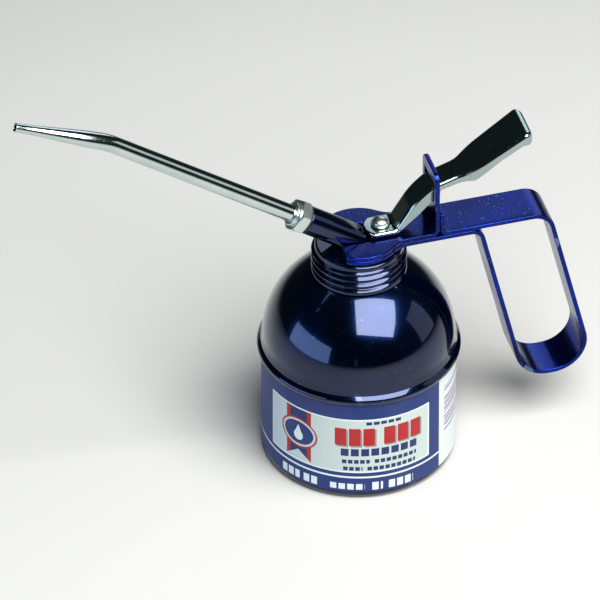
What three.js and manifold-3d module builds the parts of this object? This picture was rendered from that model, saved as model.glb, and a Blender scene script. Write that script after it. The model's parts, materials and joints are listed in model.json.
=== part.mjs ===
// Thumb-pump oil can: a steel can whose screw cap carries the pump, the handle, the lever and the spout.
// Millimetres, +Z up. The origin is the centre of the base, the spout points to -X and the handle to +X.
import * as THREE from 'three';
import Module from 'manifold-3d';
import { mergeVertices } from 'three/addons/utils/BufferGeometryUtils.js';

const wasm = await Module();
wasm.setup();

// ---- driving dimensions ----
const gap = 0.3; // running or joint clearance between neighbouring pieces
const weldGap = 0.2; // between flat faces that are welded or pressed together
const through = 5; // how far a cutting solid runs past the face it cuts

const canRadius = 40;
const canSheet = 0.9;
const cupHeight = 53; // seat of the dome on the cup
const baseRadius = 3; // rounded edge of the base
const baseBead = { inner: 25, outer: 30, depth: 1.4 };
const label = { lift: 1, drop: 0.7, paper: 0.2 }; // clear of the rounded edge below and the bead above

// rolled bead of the dome over the cup; it turns from one angle to the other, in degrees
const seam = { height: 4.6, thickness: 1.9, from: -55, to: 60, flare: 0.25 };
const domeRise = 3.2; // straight part between the seat and the half-sphere
const domeFlatten = 0.95; // height of the half-sphere over its radius
const neckFillet = 3.4;

const thread = { pitch: 3.2, depth: 0.75, meanRadius: 19, clearance: 0.45, land: 0.5 };
const capSheet = 0.7;
const capHeight = 13.2;
const capStep = 2; // how far the cap's rim hangs below the root of the neck
const capCrown = 1.2; // thickness of the flat top
const capRound = 1;
const lip = 1.9; // how far the neck's lip turns in
const gasketThickness = 1.2;

const strap = { thickness: 1.9, width: 19 };
const fork = { inset: 2, slotClearance: 0.7, eyeClearance: 0.6, front: -9.5, blendRadius: 12 };
const plate = {
  front: 30,
  bend: 2.6,
  height: 29.2,
  corner: 3.5,
  slotSill: 14,
  slotHeight: 10,
  sideClearance: 0.6,
};
const strapOverlap = 8; // flat fork before the bent strip starts, ahead of the plate

const grip = {
  reach: 9.6, // from the can's side to the front leg, under the strap
  opening: 29.4, // between the legs
  drop: 80.4,
  lean: 13.2,
  frontBend: 5,
  bottomBend: 13.6,
  topBend: 8.6,
  flange: 9,
  flangeBend: 2.2,
};

const barrel = { bore: 3.8, wall: 0.8, footClearance: 11.7, engagement: 3 };
const pumpHead = { height: 6.4, clearance: 0.5, wall: 0.9 };
const rod = { radius: 1.6, shank: 1.4, shankDrop: 1.2, taper: 0.5 };
const rivet = { radius: 3.9, rim: 0.9, height: 3.1 };
const piston = { height: 7, holes: 4, holeRadius: 0.4, holeCircle: 2.2 };
const pistonSeal = { height: 1.6, depth: 0.55 };
const springCollar = { height: 2, abovePiston: 9 };
const spring = { wire: 0.4, turns: 6, length: 20.4 };
const valveTravel = 1;
const footValve = { height: 6.4, flange: 2, seatBore: 1.2, seatDepth: 2.6, seatRise: 1.4 };
const inletBall = { radius: 1.9, travel: 1.3 };
const strainer = { height: 3.6, wall: 0.8, holes: 6, holeRadius: 0.7 };
const gland = { flats: 7.6, height: 3.4, depth: 1.4 };
const packing = { radius: 3, height: 1.8 };

const spoutAngle = 34.8; // of the socket and the straight spout, above the horizontal
const socket = {
  radius: 6,
  wall: 1.6,
  length: 28.2,
  axisRise: 0.8,
  facetAngle: 41.9,
  facetRise: 5.1,
  rearWall: 1.5,
  lugRoom: 0.7, // between the socket's rear end and the lever's lug
};
const nut = { flats: 12.7, thickness: 4.4, collarRadius: 5.1, collar: 1.7, stub: 6.2 };
const washerThickness = 0.9;
const spout = {
  radius: 3.6,
  wall: 0.7,
  straight: 130.3, // from the can axis to the bend
  bendAngle: 12,
  bendRadius: 34,
  taper: 39.3,
  tipRadius: 1.9,
  tipWall: 0.5,
};

const lever = {
  sheet: 1.3,
  halfWidth: 6,
  lugHalf: 6.4,
  lugRise: 2.6, // upper face of the lug above the bracket
  padStart: 8.7, // half width where the pad begins
  padHalf: 9.8,
  padCorner: 3.8,
  padLength: 41.2, // from the pivot to the end of the pad, along X
  padRise: 31.1, // to the corner that the end's bend rounds off
  padEndBend: 2.6,
  padRim: 7.4,
  sill: 0.7, // side walls above the sill of the plate's slot
  range: 18, // degrees of thumb travel
};

const roundSegments = 32;
const smallSegments = 20;
const rowsPerTurn = 5; // rings in one pitch of a rolled thread

// ---- shared values ----
const degrees = Math.PI / 180;
const hexRadius = (flats) => flats / 2 / Math.cos(30 * degrees);

const domeSeat = cupHeight + gap;
const domeCentre = domeSeat + domeRise;
const seamBottom = domeSeat - (seam.height + seam.thickness) / 2;
const neckCore = thread.meanRadius - capSheet - thread.clearance; // mean radius of the neck's thread
const neckRadius = neckCore - thread.depth;
const neckBore = neckRadius - lip;
const filletX = neckRadius + neckFillet;
const filletRise = Math.sqrt((canRadius + neckFillet) ** 2 - filletX ** 2);
const neckFoot = domeCentre + filletRise * domeFlatten;
const capBottom = neckFoot - capStep;
const capTop = capBottom + capHeight;
const neckTop = capTop - capCrown - gasketThickness - 2 * weldGap;

const forkLower = { bottom: capTop + weldGap, top: capTop + weldGap + strap.thickness };
const forkUpper = { bottom: forkLower.top + weldGap, top: forkLower.top + weldGap + strap.thickness };
const forkRadius = thread.meanRadius - fork.inset;
const slotHalf = socket.radius + fork.slotClearance;
const plateSlotSill = forkUpper.top + plate.slotSill;

const pumpHeadRadius = neckBore - pumpHead.clearance;
const pumpHeadTop = capTop - capCrown - weldGap;
const pumpHeadBottom = pumpHeadTop - pumpHead.height;
const barrelOuter = barrel.bore + barrel.wall;
const pumpX = pumpHeadRadius - barrelOuter - weldGap - pumpHead.wall; // pump axis behind the can axis
const barrelTop = pumpHeadBottom + barrel.engagement;
const barrelBottom = baseBead.depth + canSheet + barrel.footClearance;
const collarTop = pumpHeadBottom - spring.length;
const pistonTop = collarTop - springCollar.height - springCollar.abovePiston;
const pistonBottom = pistonTop - piston.height;

const spoutHeight = capTop + socket.axisRise; // where the socket's axis crosses the can's
const spoutAxis = new THREE.Vector3(-Math.cos(spoutAngle * degrees), 0, Math.sin(spoutAngle * degrees));
const socketBore = socket.radius - socket.wall;
const socketRear = pumpX - lever.lugHalf - socket.lugRoom;

const pivot = new THREE.Vector2(plate.front + strap.thickness / 2, plateSlotSill);
const lugTop = forkUpper.top + lever.lugRise;
const headUnderside = lugTop + gap;

// ---- materials ----
const blue = () => new THREE.MeshStandardMaterial({ color: 0x14206b, roughness: 0.22, metalness: 0 });
const chrome = () => new THREE.MeshStandardMaterial({ color: 0xc9cfd0, roughness: 0.12, metalness: 1 });
const zinc = () => new THREE.MeshStandardMaterial({ color: 0xa9b5ae, roughness: 0.34, metalness: 1 });
const brass = () => new THREE.MeshStandardMaterial({ color: 0xb08d45, roughness: 0.3, metalness: 1 });
const steel = () => new THREE.MeshStandardMaterial({ color: 0x9a9c9e, roughness: 0.3, metalness: 1 });
const rubber = () => new THREE.MeshStandardMaterial({ color: 0x1c1c1c, roughness: 0.8, metalness: 0 });
const fibre = () => new THREE.MeshStandardMaterial({ color: 0x2a2523, roughness: 0.85, metalness: 0 });
const paper = () => new THREE.MeshStandardMaterial({ color: 0x1a3387, roughness: 0.45, metalness: 0 });

const root = new THREE.Group();

// Every piece goes into the group through here.
function piece(name, geometry, material) {
  const mesh = new THREE.Mesh(geometry, material);
  mesh.name = name;
  root.add(mesh);
  return mesh;
}

// ---- solids ----
function toSolid(geometry) {
  const bare = geometry.clone();
  bare.deleteAttribute('normal');
  bare.deleteAttribute('uv');
  const merged = mergeVertices(bare, 1e-4);
  return new wasm.Manifold(new wasm.Mesh({
    numProp: 3,
    vertProperties: new Float32Array(merged.attributes.position.array),
    triVerts: new Uint32Array(merged.index.array),
  }));
}

function toGeometry(solid) {
  const mesh = solid.getMesh();
  const geometry = new THREE.BufferGeometry();
  geometry.setAttribute('position', new THREE.BufferAttribute(new Float32Array(mesh.vertProperties), 3));
  geometry.setIndex(new THREE.BufferAttribute(new Uint32Array(mesh.triVerts), 1));
  geometry.computeVertexNormals();
  return geometry;
}

const cut = (body, ...tools) => tools.reduce((left, tool) => left.subtract(tool), body);
const join = (...parts) => parts.reduce((left, part) => left.add(part));

// A closed profile of [radius, z] pairs turned about Z. Points run counter-clockwise seen from +Y.
function turned(profile, segments = roundSegments) {
  const points = profile.map(([radius, z]) => new THREE.Vector2(Math.max(radius, 0), z));
  const onAxis = points[0].x === 0 && points[points.length - 1].x === 0;
  if (!onAxis) points.push(points[0].clone());
  const area = points.reduce((sum, point, i) => {
    const next = points[(i + 1) % points.length];
    return sum + point.x * next.y - next.x * point.y;
  }, 0);
  if (area < 0) points.reverse();
  const geometry = new THREE.LatheGeometry(points, segments);
  geometry.rotateX(Math.PI / 2);
  return geometry;
}

// Points of an arc in a profile, from one angle to another in degrees.
function arc(centreX, centreZ, radius, from, to, steps = 5) {
  const points = [];
  for (let i = 0; i <= steps; i += 1) {
    const angle = (from + (to - from) * i / steps) * degrees;
    points.push([centreX + radius * Math.cos(angle), centreZ + radius * Math.sin(angle)]);
  }
  return points;
}

const ring = (inner, outer, bottom, top, segments) => turned(
  [[inner, bottom], [outer, bottom], [outer, top], [inner, top]], segments);
const disc = (radius, bottom, top, segments) => turned(
  [[0, bottom], [radius, bottom], [radius, top], [0, top]], segments);
const post = (x, radius, bottom, top, segments = smallSegments) => disc(radius, bottom, top, segments)
  .translate(x, 0, 0);
const block = (x0, x1, y0, y1, z0, z1) => new THREE.BoxGeometry(x1 - x0, y1 - y0, z1 - z0)
  .translate((x0 + x1) / 2, (y0 + y1) / 2, (z0 + z1) / 2);

// A side outline of [x, z] pairs given thickness along Y.
function sideExtrude(outline, halfWidth) {
  const shape = new THREE.Shape(outline.map(([x, z]) => new THREE.Vector2(x, z)));
  const geometry = new THREE.ExtrudeGeometry(shape, { depth: 2 * halfWidth, bevelEnabled: false });
  return geometry.translate(0, 0, -halfWidth).rotateX(Math.PI / 2);
}

// A plan outline, a THREE.Shape in X and Y, given height along Z.
function planExtrude(shape, bottom, top) {
  const settings = { depth: top - bottom, bevelEnabled: false, curveSegments: 8 };
  const geometry = new THREE.ExtrudeGeometry(shape, settings);
  return geometry.translate(0, 0, bottom);
}

// Rounds the corners of an open line. Each corner is [x, z, radius].
function rounded(corners, steps = 5) {
  const points = corners.map(([x, z]) => new THREE.Vector2(x, z));
  const line = [points[0]];
  for (let i = 1; i < corners.length - 1; i += 1) {
    const corner = points[i];
    const radius = corners[i][2];
    const back = points[i - 1].clone().sub(corner).normalize();
    const ahead = points[i + 1].clone().sub(corner).normalize();
    const half = Math.acos(THREE.MathUtils.clamp(back.dot(ahead), -1, 1)) / 2;
    const reach = radius / Math.tan(half);
    const middle = back.clone().add(ahead).normalize();
    const centre = corner.clone().addScaledVector(middle, radius / Math.sin(half));
    const start = corner.clone().addScaledVector(back, reach).sub(centre);
    const end = corner.clone().addScaledVector(ahead, reach).sub(centre);
    let sweep = end.angle() - start.angle();
    if (sweep > Math.PI) sweep -= 2 * Math.PI;
    if (sweep < -Math.PI) sweep += 2 * Math.PI;
    for (let k = 0; k <= steps; k += 1) {
      line.push(start.clone().rotateAround(new THREE.Vector2(0, 0), sweep * k / steps).add(centre));
    }
  }
  line.push(points[points.length - 1]);
  return line;
}

// A line moved sideways: positive is to the left of its direction.
function offset(line, distance) {
  const along = line.slice(1).map((point, i) => point.clone().sub(line[i]).normalize());
  return line.map((point, i) => {
    const before = along[Math.max(i - 1, 0)];
    const after = along[Math.min(i, along.length - 1)];
    const normal = new THREE.Vector2(-before.y - after.y, before.x + after.x).normalize();
    const stretch = normal.x * -before.y + normal.y * before.x;
    return point.clone().addScaledVector(normal, distance / stretch);
  });
}

// The outline of a bent strip, from its centre line.
function stripOutline(line, thickness) {
  const loop = [...offset(line, thickness / 2), ...offset(line, -thickness / 2).reverse()];
  return loop.map((point) => [point.x, point.y]);
}

// A closed surface from rings of points, each ring closed on itself and the last joined to the first.
function ringSolid(rings) {
  const count = rings[0].length;
  const position = rings.flat().flatMap((point) => [point.x, point.y, point.z]);
  const index = [];
  for (let i = 0; i < rings.length; i += 1) {
    const next = (i + 1) % rings.length;
    for (let j = 0; j < count; j += 1) {
      const side = (j + 1) % count;
      index.push(i * count + j, i * count + side, next * count + side);
      index.push(i * count + j, next * count + side, next * count + j);
    }
  }
  const geometry = new THREE.BufferGeometry();
  geometry.setAttribute('position', new THREE.Float32BufferAttribute(position, 3));
  geometry.setIndex(index);
  const solid = toSolid(geometry);
  if (solid.volume() > 0) return geometry;
  return geometry.setIndex(index.reverse());
}

// A tube in the XZ plane. stations: {point, radius, bore}, the direction comes from the neighbours.
function tubeAlong(stations, segments = smallSegments) {
  const at = (i, radius) => {
    const before = stations[Math.max(i - 1, 0)].point;
    const after = stations[Math.min(i + 1, stations.length - 1)].point;
    const along = after.clone().sub(before).normalize();
    const across = new THREE.Vector3(0, 1, 0);
    const up = new THREE.Vector3().crossVectors(across, along);
    return Array.from({ length: segments }, (_, j) => {
      const angle = 2 * Math.PI * j / segments;
      return stations[i].point.clone()
        .addScaledVector(across, radius * Math.cos(angle))
        .addScaledVector(up, radius * Math.sin(angle));
    });
  };
  const outside = stations.map((station, i) => at(i, station.radius));
  const inside = stations.map((station, i) => at(i, station.bore));
  return ringSolid([...outside, ...inside.reverse()]);
}

// A thread-rolled sleeve: radius follows a right-hand helix between two heights and is plain beyond them.
function rolledRadius(mean, z, angle, from, to, plain) {
  const fade = thread.pitch / 2;
  const inside = THREE.MathUtils.clamp(Math.min(z - from, to - z) / fade, 0, 1);
  const wave = mean + thread.depth * Math.cos(2 * Math.PI * z / thread.pitch - angle);
  return plain + (wave - plain) * inside;
}

// A ring of points at a height, with the radius given by a function of the angle.
function ringAt(z, radiusOf, segments = roundSegments) {
  return Array.from({ length: segments }, (_, j) => {
    const angle = 2 * Math.PI * j / segments;
    const radius = radiusOf(angle);
    return new THREE.Vector3(radius * Math.cos(angle), radius * Math.sin(angle), z);
  });
}

function heights(from, to, step) {
  const count = Math.round((to - from) / step);
  return Array.from({ length: count + 1 }, (_, i) => from + (to - from) * i / count);
}

// ---- can ----
function baseCup() {
  const outer = canRadius;
  const inner = canRadius - canSheet;
  const rise = baseBead.depth;
  const beadIn = [baseBead.inner, baseBead.inner + rise, baseBead.outer - rise, baseBead.outer];
  return turned([
    [0, 0], [beadIn[0], 0], [beadIn[1], rise], [beadIn[2], rise], [beadIn[3], 0],
    ...arc(outer - baseRadius, baseRadius, baseRadius, -90, 0, 4),
    [outer, cupHeight], [inner, cupHeight],
    ...arc(outer - baseRadius, baseRadius, baseRadius - canSheet, 0, -90, 3),
    [beadIn[3], canSheet], [beadIn[2], rise + canSheet],
    [beadIn[1], rise + canSheet], [beadIn[0], canSheet],
    [0, canSheet],
  ]);
}

function domeShell() {
  const filletZ = domeCentre + filletRise;
  const meet = Math.atan2(filletRise, filletX) / degrees;
  const press = ([radius, z]) => [radius, domeCentre + (z - domeCentre) * domeFlatten];
  const sphere = canRadius;
  const skirt = canRadius + gap;
  const bead = seam.thickness;
  const beadZ = seamBottom + seam.thickness;
  const rings = [];
  const flat = ([radius, z]) => rings.push(ringAt(z, () => radius));
  // outside, from the seam bead up
  [[skirt, beadZ - bead], ...arc(skirt, beadZ, bead, seam.from, seam.to, 4),
    [sphere + seam.flare, domeCentre - domeRise / 3],
    ...arc(0, domeCentre, sphere, 4, meet, 9).map(press),
    ...arc(filletX, filletZ, neckFillet, 180 + meet, 180, 4).map(press)].forEach(flat);
  const rolledFrom = neckFoot + thread.land;
  const rolledTo = neckTop - canSheet;
  heights(rolledFrom, rolledTo, thread.pitch / rowsPerTurn).forEach((z) => rings.push(
    ringAt(z, (angle) => rolledRadius(neckCore, z, angle, rolledFrom, rolledTo, neckRadius))));
  // lip and inside, back down to the seat on the cup
  const throat = neckRadius - canSheet;
  [[neckRadius, neckTop], [neckBore, neckTop],
    [neckBore, neckTop - canSheet], [throat, neckTop - 2 * canSheet],
    [throat, neckFoot],
    ...arc(0, domeCentre, sphere - canSheet, meet + 2, 4, 8).map(press),
    [sphere - canSheet, domeSeat], [skirt, domeSeat]].forEach(flat);
  return ringSolid(rings);
}

piece('base_cup', baseCup(), blue());
piece('dome_shell', domeShell(), blue());
const labelInner = canRadius + 0.1;
const labelFoot = baseRadius + label.lift;
const labelTop = seamBottom - label.drop;
piece('paper_label', ring(labelInner, labelInner + label.paper, labelFoot, labelTop), paper());

// ---- cap and gasket ----
function capSleeve() {
  const valley = thread.meanRadius - thread.depth;
  const crest = thread.meanRadius + thread.depth;
  const crownZ = capTop - capCrown;
  const rolledFrom = capBottom + thread.land;
  const rolledTo = crownZ - thread.land;
  const levels = heights(rolledFrom, rolledTo, thread.pitch / rowsPerTurn);
  const half = (rolledFrom + rolledTo) / 2;
  // crest radius at the open rim, valley radius under the crown
  const plainAt = (z) => (z < half ? crest : valley);
  const rolled = (z, inset) => ringAt(z, (angle) => (
    rolledRadius(thread.meanRadius, z, angle, rolledFrom, rolledTo, plainAt(z)) - inset));
  const flat = ([radius, z]) => ringAt(z, () => radius);
  const eye = 1; // small hole in the crown, inside the cut for the pump
  return ringSolid([
    flat([crest, capBottom]),
    ...levels.map((z) => rolled(z, 0)),
    ...[...arc(valley - capRound, capTop - capRound, capRound, 0, 90, 3), [eye, capTop], [eye, crownZ],
      [valley - capSheet, crownZ]].map(flat),
    ...levels.reverse().map((z) => rolled(z, capSheet)),
    flat([crest - capSheet, capBottom]),
  ]);
}

const capHoles = join(
  toSolid(post(pumpX, hexRadius(gland.flats) + gap, capTop - through, capTop + through)),
  toSolid(block(-socket.radius, socketRear - socket.rearWall, -socketBore, socketBore, capTop - through,
    capTop + through)),
);
piece('screw_cap', toGeometry(cut(toSolid(capSleeve()), capHoles)), blue());
piece('cap_gasket', ring(pumpHeadRadius + gap, neckRadius - 0.1, neckTop + weldGap,
  neckTop + weldGap + gasketThickness), rubber());

// ---- bracket and handle ----
// A fork of two arms round the socket, blended into the strap. Open at the front.
function forkShape(rear) {
  const half = strap.width / 2;
  const front = Math.sqrt(forkRadius ** 2 - fork.front ** 2);
  const blendX = Math.sqrt((forkRadius + fork.blendRadius) ** 2 - (half + fork.blendRadius) ** 2);
  const touch = Math.atan2(half + fork.blendRadius, blendX);
  const start = Math.atan2(front, fork.front);
  const shape = new THREE.Shape();
  shape.moveTo(fork.front, front);
  shape.absarc(0, 0, forkRadius, start, touch, true);
  shape.absarc(blendX, half + fork.blendRadius, fork.blendRadius, touch + Math.PI, 1.5 * Math.PI, false);
  shape.lineTo(rear, half);
  shape.lineTo(rear, -half);
  shape.absarc(blendX, -half - fork.blendRadius, fork.blendRadius, 0.5 * Math.PI, Math.PI - touch, false);
  shape.absarc(0, 0, forkRadius, -touch, -start, true);
  // the slot clears the socket, then narrows to an eye round the gland nut
  const slotEnd = socketRear + fork.slotClearance;
  const eye = hexRadius(gland.flats) + fork.eyeClearance;
  shape.lineTo(fork.front, -slotHalf);
  shape.lineTo(slotEnd, -slotHalf);
  shape.absarc(pumpX, 0, eye, -0.75 * Math.PI, 0.75 * Math.PI, false);
  shape.lineTo(slotEnd, slotHalf);
  shape.lineTo(fork.front, slotHalf);
  return shape;
}

const strapStart = plate.front - strapOverlap;
function headBracket() {
  const centreZ = (forkUpper.bottom + forkUpper.top) / 2;
  const plateCentre = plate.front + strap.thickness / 2;
  const plateTop = forkUpper.top + plate.height;
  const corner = [plateCentre, centreZ, plate.bend];
  const line = rounded([[strapStart, centreZ], corner, [plateCentre, plateTop]], 4);
  const bent = toSolid(sideExtrude(stripOutline(line, strap.thickness), strap.width / 2));
  const flat = toSolid(planExtrude(forkShape(strapStart + 0.5), forkUpper.bottom, forkUpper.top));
  const slotSide = lever.halfWidth + plate.sideClearance;
  const slot = toSolid(block(plate.front - through, plate.front + strap.thickness + through,
    -slotSide, slotSide, plateSlotSill, plateSlotSill + plate.slotHeight));
  // the plate's rounded top corners
  const cornerY = strap.width / 2 - plate.corner;
  const cornerZ = plateTop - plate.corner;
  const topBand = (halfWidth) => toSolid(block(plateCentre - through, plateCentre + through,
    -halfWidth, halfWidth, cornerZ, plateTop + 1));
  const rounds = [-cornerY, cornerY].map((y) => toSolid(disc(plate.corner, -through, through)
    .rotateY(Math.PI / 2).translate(plateCentre, y, cornerZ)));
  const corners = topBand(strap.width).subtract(join(topBand(cornerY), ...rounds));
  return toGeometry(cut(join(bent, flat), slot, corners));
}

function handleStrip() {
  const lowerZ = (forkLower.bottom + forkLower.top) / 2;
  const upperZ = (forkUpper.bottom + forkUpper.top) / 2;
  const lean = Math.tan(grip.lean * degrees);
  const frontTop = canRadius + grip.reach;
  const backTop = frontTop + grip.opening;
  const bottomZ = lowerZ - grip.drop;
  const flangeX = plate.front + strap.thickness + weldGap + strap.thickness / 2;
  const line = rounded([
    [strapStart, lowerZ],
    [frontTop, lowerZ, grip.frontBend],
    [frontTop + grip.drop * lean, bottomZ, grip.bottomBend],
    [backTop + (upperZ - bottomZ) * lean, bottomZ, grip.bottomBend],
    [backTop, upperZ, grip.topBend],
    [flangeX, upperZ, grip.flangeBend],
    [flangeX, forkUpper.top + grip.flange],
  ], 6);
  const bent = toSolid(sideExtrude(stripOutline(line, strap.thickness), strap.width / 2));
  const flat = toSolid(planExtrude(forkShape(strapStart + 0.5), forkLower.bottom, forkLower.top));
  return toGeometry(join(bent, flat));
}

piece('head_bracket', headBracket(), blue());
piece('handle_strip', handleStrip(), blue());

// ---- spout socket ----
// Lays a solid built along +Z along the spout, starting where the socket crosses the can axis.
function alongSpout(geometry) {
  const turn = new THREE.Quaternion().setFromUnitVectors(new THREE.Vector3(0, 0, 1), spoutAxis);
  return geometry.applyQuaternion(turn).translate(0, 0, spoutHeight);
}

function spoutSocket() {
  const foot = -20;
  const size = 60;
  const tube = toSolid(alongSpout(disc(socket.radius, foot, socket.length, smallSegments)));
  const bore = toSolid(alongSpout(disc(socketBore, foot, socket.length + through, smallSegments)));
  const below = toSolid(block(-size, size, -size, size, capTop + weldGap - size, capTop + weldGap));
  const high = capTop + 2 * size;
  const behind = toSolid(block(socketRear, size, -size, size, 0, high));
  const boreLimit = toSolid(block(-size, socketRear - socket.rearWall, -size, size, 0, high));
  // the flattened rear end: a sloping plane through the rear edge
  const facetAt = (drop) => toSolid(block(-size, size, -size, size, 0, size)
    .rotateY(socket.facetAngle * degrees).translate(socketRear, 0, capTop + socket.facetRise - drop));
  const hollow = bore.intersect(boreLimit).subtract(facetAt(lever.sheet));
  return toGeometry(cut(tube, hollow, below, behind, facetAt(0)));
}
piece('spout_socket', spoutSocket(), blue());

// ---- pump ----
const glandBottom = pumpHeadTop - gland.depth;
const packingBottom = glandBottom - packing.height;

function pumpHeadBlock() {
  const hole = (radius, from, to) => toSolid(post(pumpX, radius, from, to));
  const above = pumpHeadTop + through;
  const riserFront = -socket.radius + 0.5;
  const riserRear = riserFront + 4;
  const galleryBottom = pumpHeadBottom + 0.6;
  const galleryTop = galleryBottom + 2;
  return toGeometry(cut(
    toSolid(disc(pumpHeadRadius, pumpHeadBottom, pumpHeadTop, roundSegments)),
    hole(barrelOuter + weldGap, pumpHeadBottom - through, barrelTop + weldGap),
    hole(rod.radius + gap, pumpHeadBottom, above),
    hole(packing.radius + weldGap, packingBottom, above),
    hole(hexRadius(gland.flats) + gap, glandBottom, above),
    toSolid(block(riserFront, pumpX - barrelOuter, -1.6, 1.6, galleryBottom, galleryTop)),
    toSolid(block(riserFront, riserRear, -1.6, 1.6, galleryBottom, above)),
  ));
}
piece('pump_head', pumpHeadBlock(), brass());

// The barrel, with a port in its side that meets the gallery of the pump head.
function pumpBarrel() {
  const tube = toSolid(ring(barrel.bore, barrelOuter, barrelBottom, barrelTop, smallSegments)
    .translate(pumpX, 0, 0));
  const port = toSolid(block(pumpX - barrelOuter - 1, pumpX - rod.radius, -1.2, 1.2, pumpHeadBottom + 0.9,
    pumpHeadBottom + 2.3));
  return toGeometry(cut(tube, port));
}
piece('pump_barrel', pumpBarrel(), brass());

piece('rod_packing', ring(rod.radius + 0.15, packing.radius, packingBottom + weldGap,
  glandBottom - weldGap, smallSegments).translate(pumpX, 0, 0), rubber());

function glandNut() {
  const bottom = glandBottom + 0.1;
  const hexagon = toSolid(post(pumpX, hexRadius(gland.flats), bottom, bottom + gland.height, 6));
  const hole = toSolid(post(pumpX, rod.radius + gap, bottom - through, bottom + gland.height + through));
  return toGeometry(cut(hexagon, hole));
}
piece('gland_nut', glandNut(), brass());

// The rod: thin shank with a domed rivet head above the lever's lug, threaded foot in the piston below.
function plungerRod() {
  const neck = lugTop - lever.sheet - rod.shankDrop;
  const step = pistonTop + valveTravel + 1.2; // shoulder that stops the valve disc
  const foot = pistonBottom + 1.2;
  const rim = headUnderside + rivet.rim;
  const domeHeight = rivet.height - rivet.rim;
  const dome = arc(0, 0, 1, 0, 90, 5).map(([x, z]) => [rivet.radius * x, rim + domeHeight * z]);
  return turned([
    [0, foot], [rod.shank, foot], [rod.shank, step], [rod.radius, step],
    [rod.radius, neck - rod.taper], [rod.shank, neck],
    [rod.shank, headUnderside], [rivet.radius, headUnderside], ...dome,
  ], smallSegments).translate(pumpX, 0, 0);
}
piece('plunger_rod', plungerRod(), zinc());
piece('spring_collar', ring(rod.radius + 0.1, barrel.bore - 2 * gap, collarTop - springCollar.height,
  collarTop, smallSegments).translate(pumpX, 0, 0), brass());

const sealMiddle = (pistonBottom + pistonTop) / 2;
function pistonBody() {
  const outer = barrel.bore - gap;
  const inner = rod.shank + 0.1;
  const groove = outer - pistonSeal.depth;
  const low = sealMiddle - pistonSeal.height / 2;
  const high = sealMiddle + pistonSeal.height / 2;
  const body = toSolid(turned([
    [inner, pistonBottom], [outer, pistonBottom], [outer, low], [groove, low],
    [groove, high], [outer, high], [outer, pistonTop], [inner, pistonTop],
  ], smallSegments));
  const holes = Array.from({ length: piston.holes }, (_, i) => toSolid(
    disc(piston.holeRadius, pistonBottom - through, pistonTop + through, 8)
      .translate(piston.holeCircle, 0, 0).rotateZ(2 * Math.PI * (i + 0.5) / piston.holes)));
  return toGeometry(cut(body, ...holes)).translate(pumpX, 0, 0);
}
piece('piston', pistonBody(), brass());

const sealGap = 0.12;
const sealHalf = pistonSeal.height / 2 - sealGap;
piece('piston_seal', ring(barrel.bore - gap - pistonSeal.depth + sealGap, barrel.bore - sealGap,
  sealMiddle - sealHalf, sealMiddle + sealHalf, smallSegments).translate(pumpX, 0, 0), rubber());
const discRadius = piston.holeCircle + piston.holeRadius + gap;
piece('piston_valve_disc', ring(rod.shank + gap, discRadius, pistonTop + 0.1, pistonTop + 0.9,
  smallSegments).translate(pumpX, 0, 0), brass());

// The return spring: a coil between the collar on the rod and the pump head.
function returnSpring() {
  const bottom = collarTop + spring.wire + 0.1;
  const top = pumpHeadBottom - spring.wire - 0.1;
  const radius = (rod.radius + barrel.bore) / 2;
  class Coil extends THREE.Curve {
    getPoint(t) {
      const angle = 2 * Math.PI * spring.turns * t;
      const rise = bottom + (top - bottom) * t;
      return new THREE.Vector3(pumpX + radius * Math.cos(angle), radius * Math.sin(angle), rise);
    }
  }
  const section = new THREE.Shape();
  section.absarc(0, 0, spring.wire, 0, 2 * Math.PI);
  return new THREE.ExtrudeGeometry(section, {
    steps: spring.turns * 10, extrudePath: new Coil(), bevelEnabled: false, curveSegments: 3,
  });
}
piece('return_spring', returnSpring(), steel());

// ---- inlet valve at the foot of the barrel ----
const valveOuter = barrel.bore - weldGap;
const ballSeat = barrelBottom + footValve.seatDepth; // height of the seat's edge
const ballCentre = ballSeat + Math.sqrt(inletBall.radius ** 2 - footValve.seatBore ** 2) + 0.15;
function footValveBody() {
  const flangeTop = barrelBottom - weldGap;
  const top = barrelBottom + footValve.height;
  const cage = inletBall.radius + 0.6;
  return turned([
    [footValve.seatBore, flangeTop - footValve.flange], [barrelOuter, flangeTop - footValve.flange],
    [barrelOuter, flangeTop], [valveOuter, flangeTop], [valveOuter, top], [cage, top],
    [cage, ballSeat + footValve.seatRise], [footValve.seatBore, ballSeat],
  ], smallSegments).translate(pumpX, 0, 0);
}
piece('foot_valve', footValveBody(), brass());
piece('inlet_ball', new THREE.SphereGeometry(inletBall.radius, 12, 8).rotateX(Math.PI / 2)
  .translate(pumpX, 0, ballCentre), steel());
const ballLimit = ballCentre + inletBall.radius + inletBall.travel;
const stopBottom = Math.max(ballLimit, barrelBottom + footValve.height + 0.1);
piece('ball_stop', ring(inletBall.radius / 2, valveOuter, stopBottom, stopBottom + 1, smallSegments)
  .translate(pumpX, 0, 0), brass());

function inletStrainer() {
  const top = barrelBottom - footValve.flange - 2 * weldGap;
  const bottom = top - strainer.height;
  const outside = toSolid(disc(barrelOuter, bottom, top, smallSegments));
  const floor = bottom + strainer.wall;
  const inside = toSolid(disc(barrelOuter - strainer.wall, floor, top + through, smallSegments));
  const holes = Array.from({ length: strainer.holes }, (_, i) => toSolid(
    disc(strainer.holeRadius, bottom - through, bottom + through, 8)
      .translate(barrelOuter / 2, 0, 0).rotateZ(2 * Math.PI * i / strainer.holes)));
  return toGeometry(cut(outside, inside, ...holes)).translate(pumpX, 0, 0);
}
piece('inlet_strainer', inletStrainer(), brass());

// ---- spout ----
const faceGap = 0.15; // either side of the washer
const washerStart = socket.length + faceGap;
const nutStart = washerStart + washerThickness + faceGap;
const nutEnd = nutStart + nut.thickness;
piece('spout_washer', alongSpout(ring(socketBore + 0.1, socket.radius, washerStart,
  washerStart + washerThickness, smallSegments)), fibre());

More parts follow.
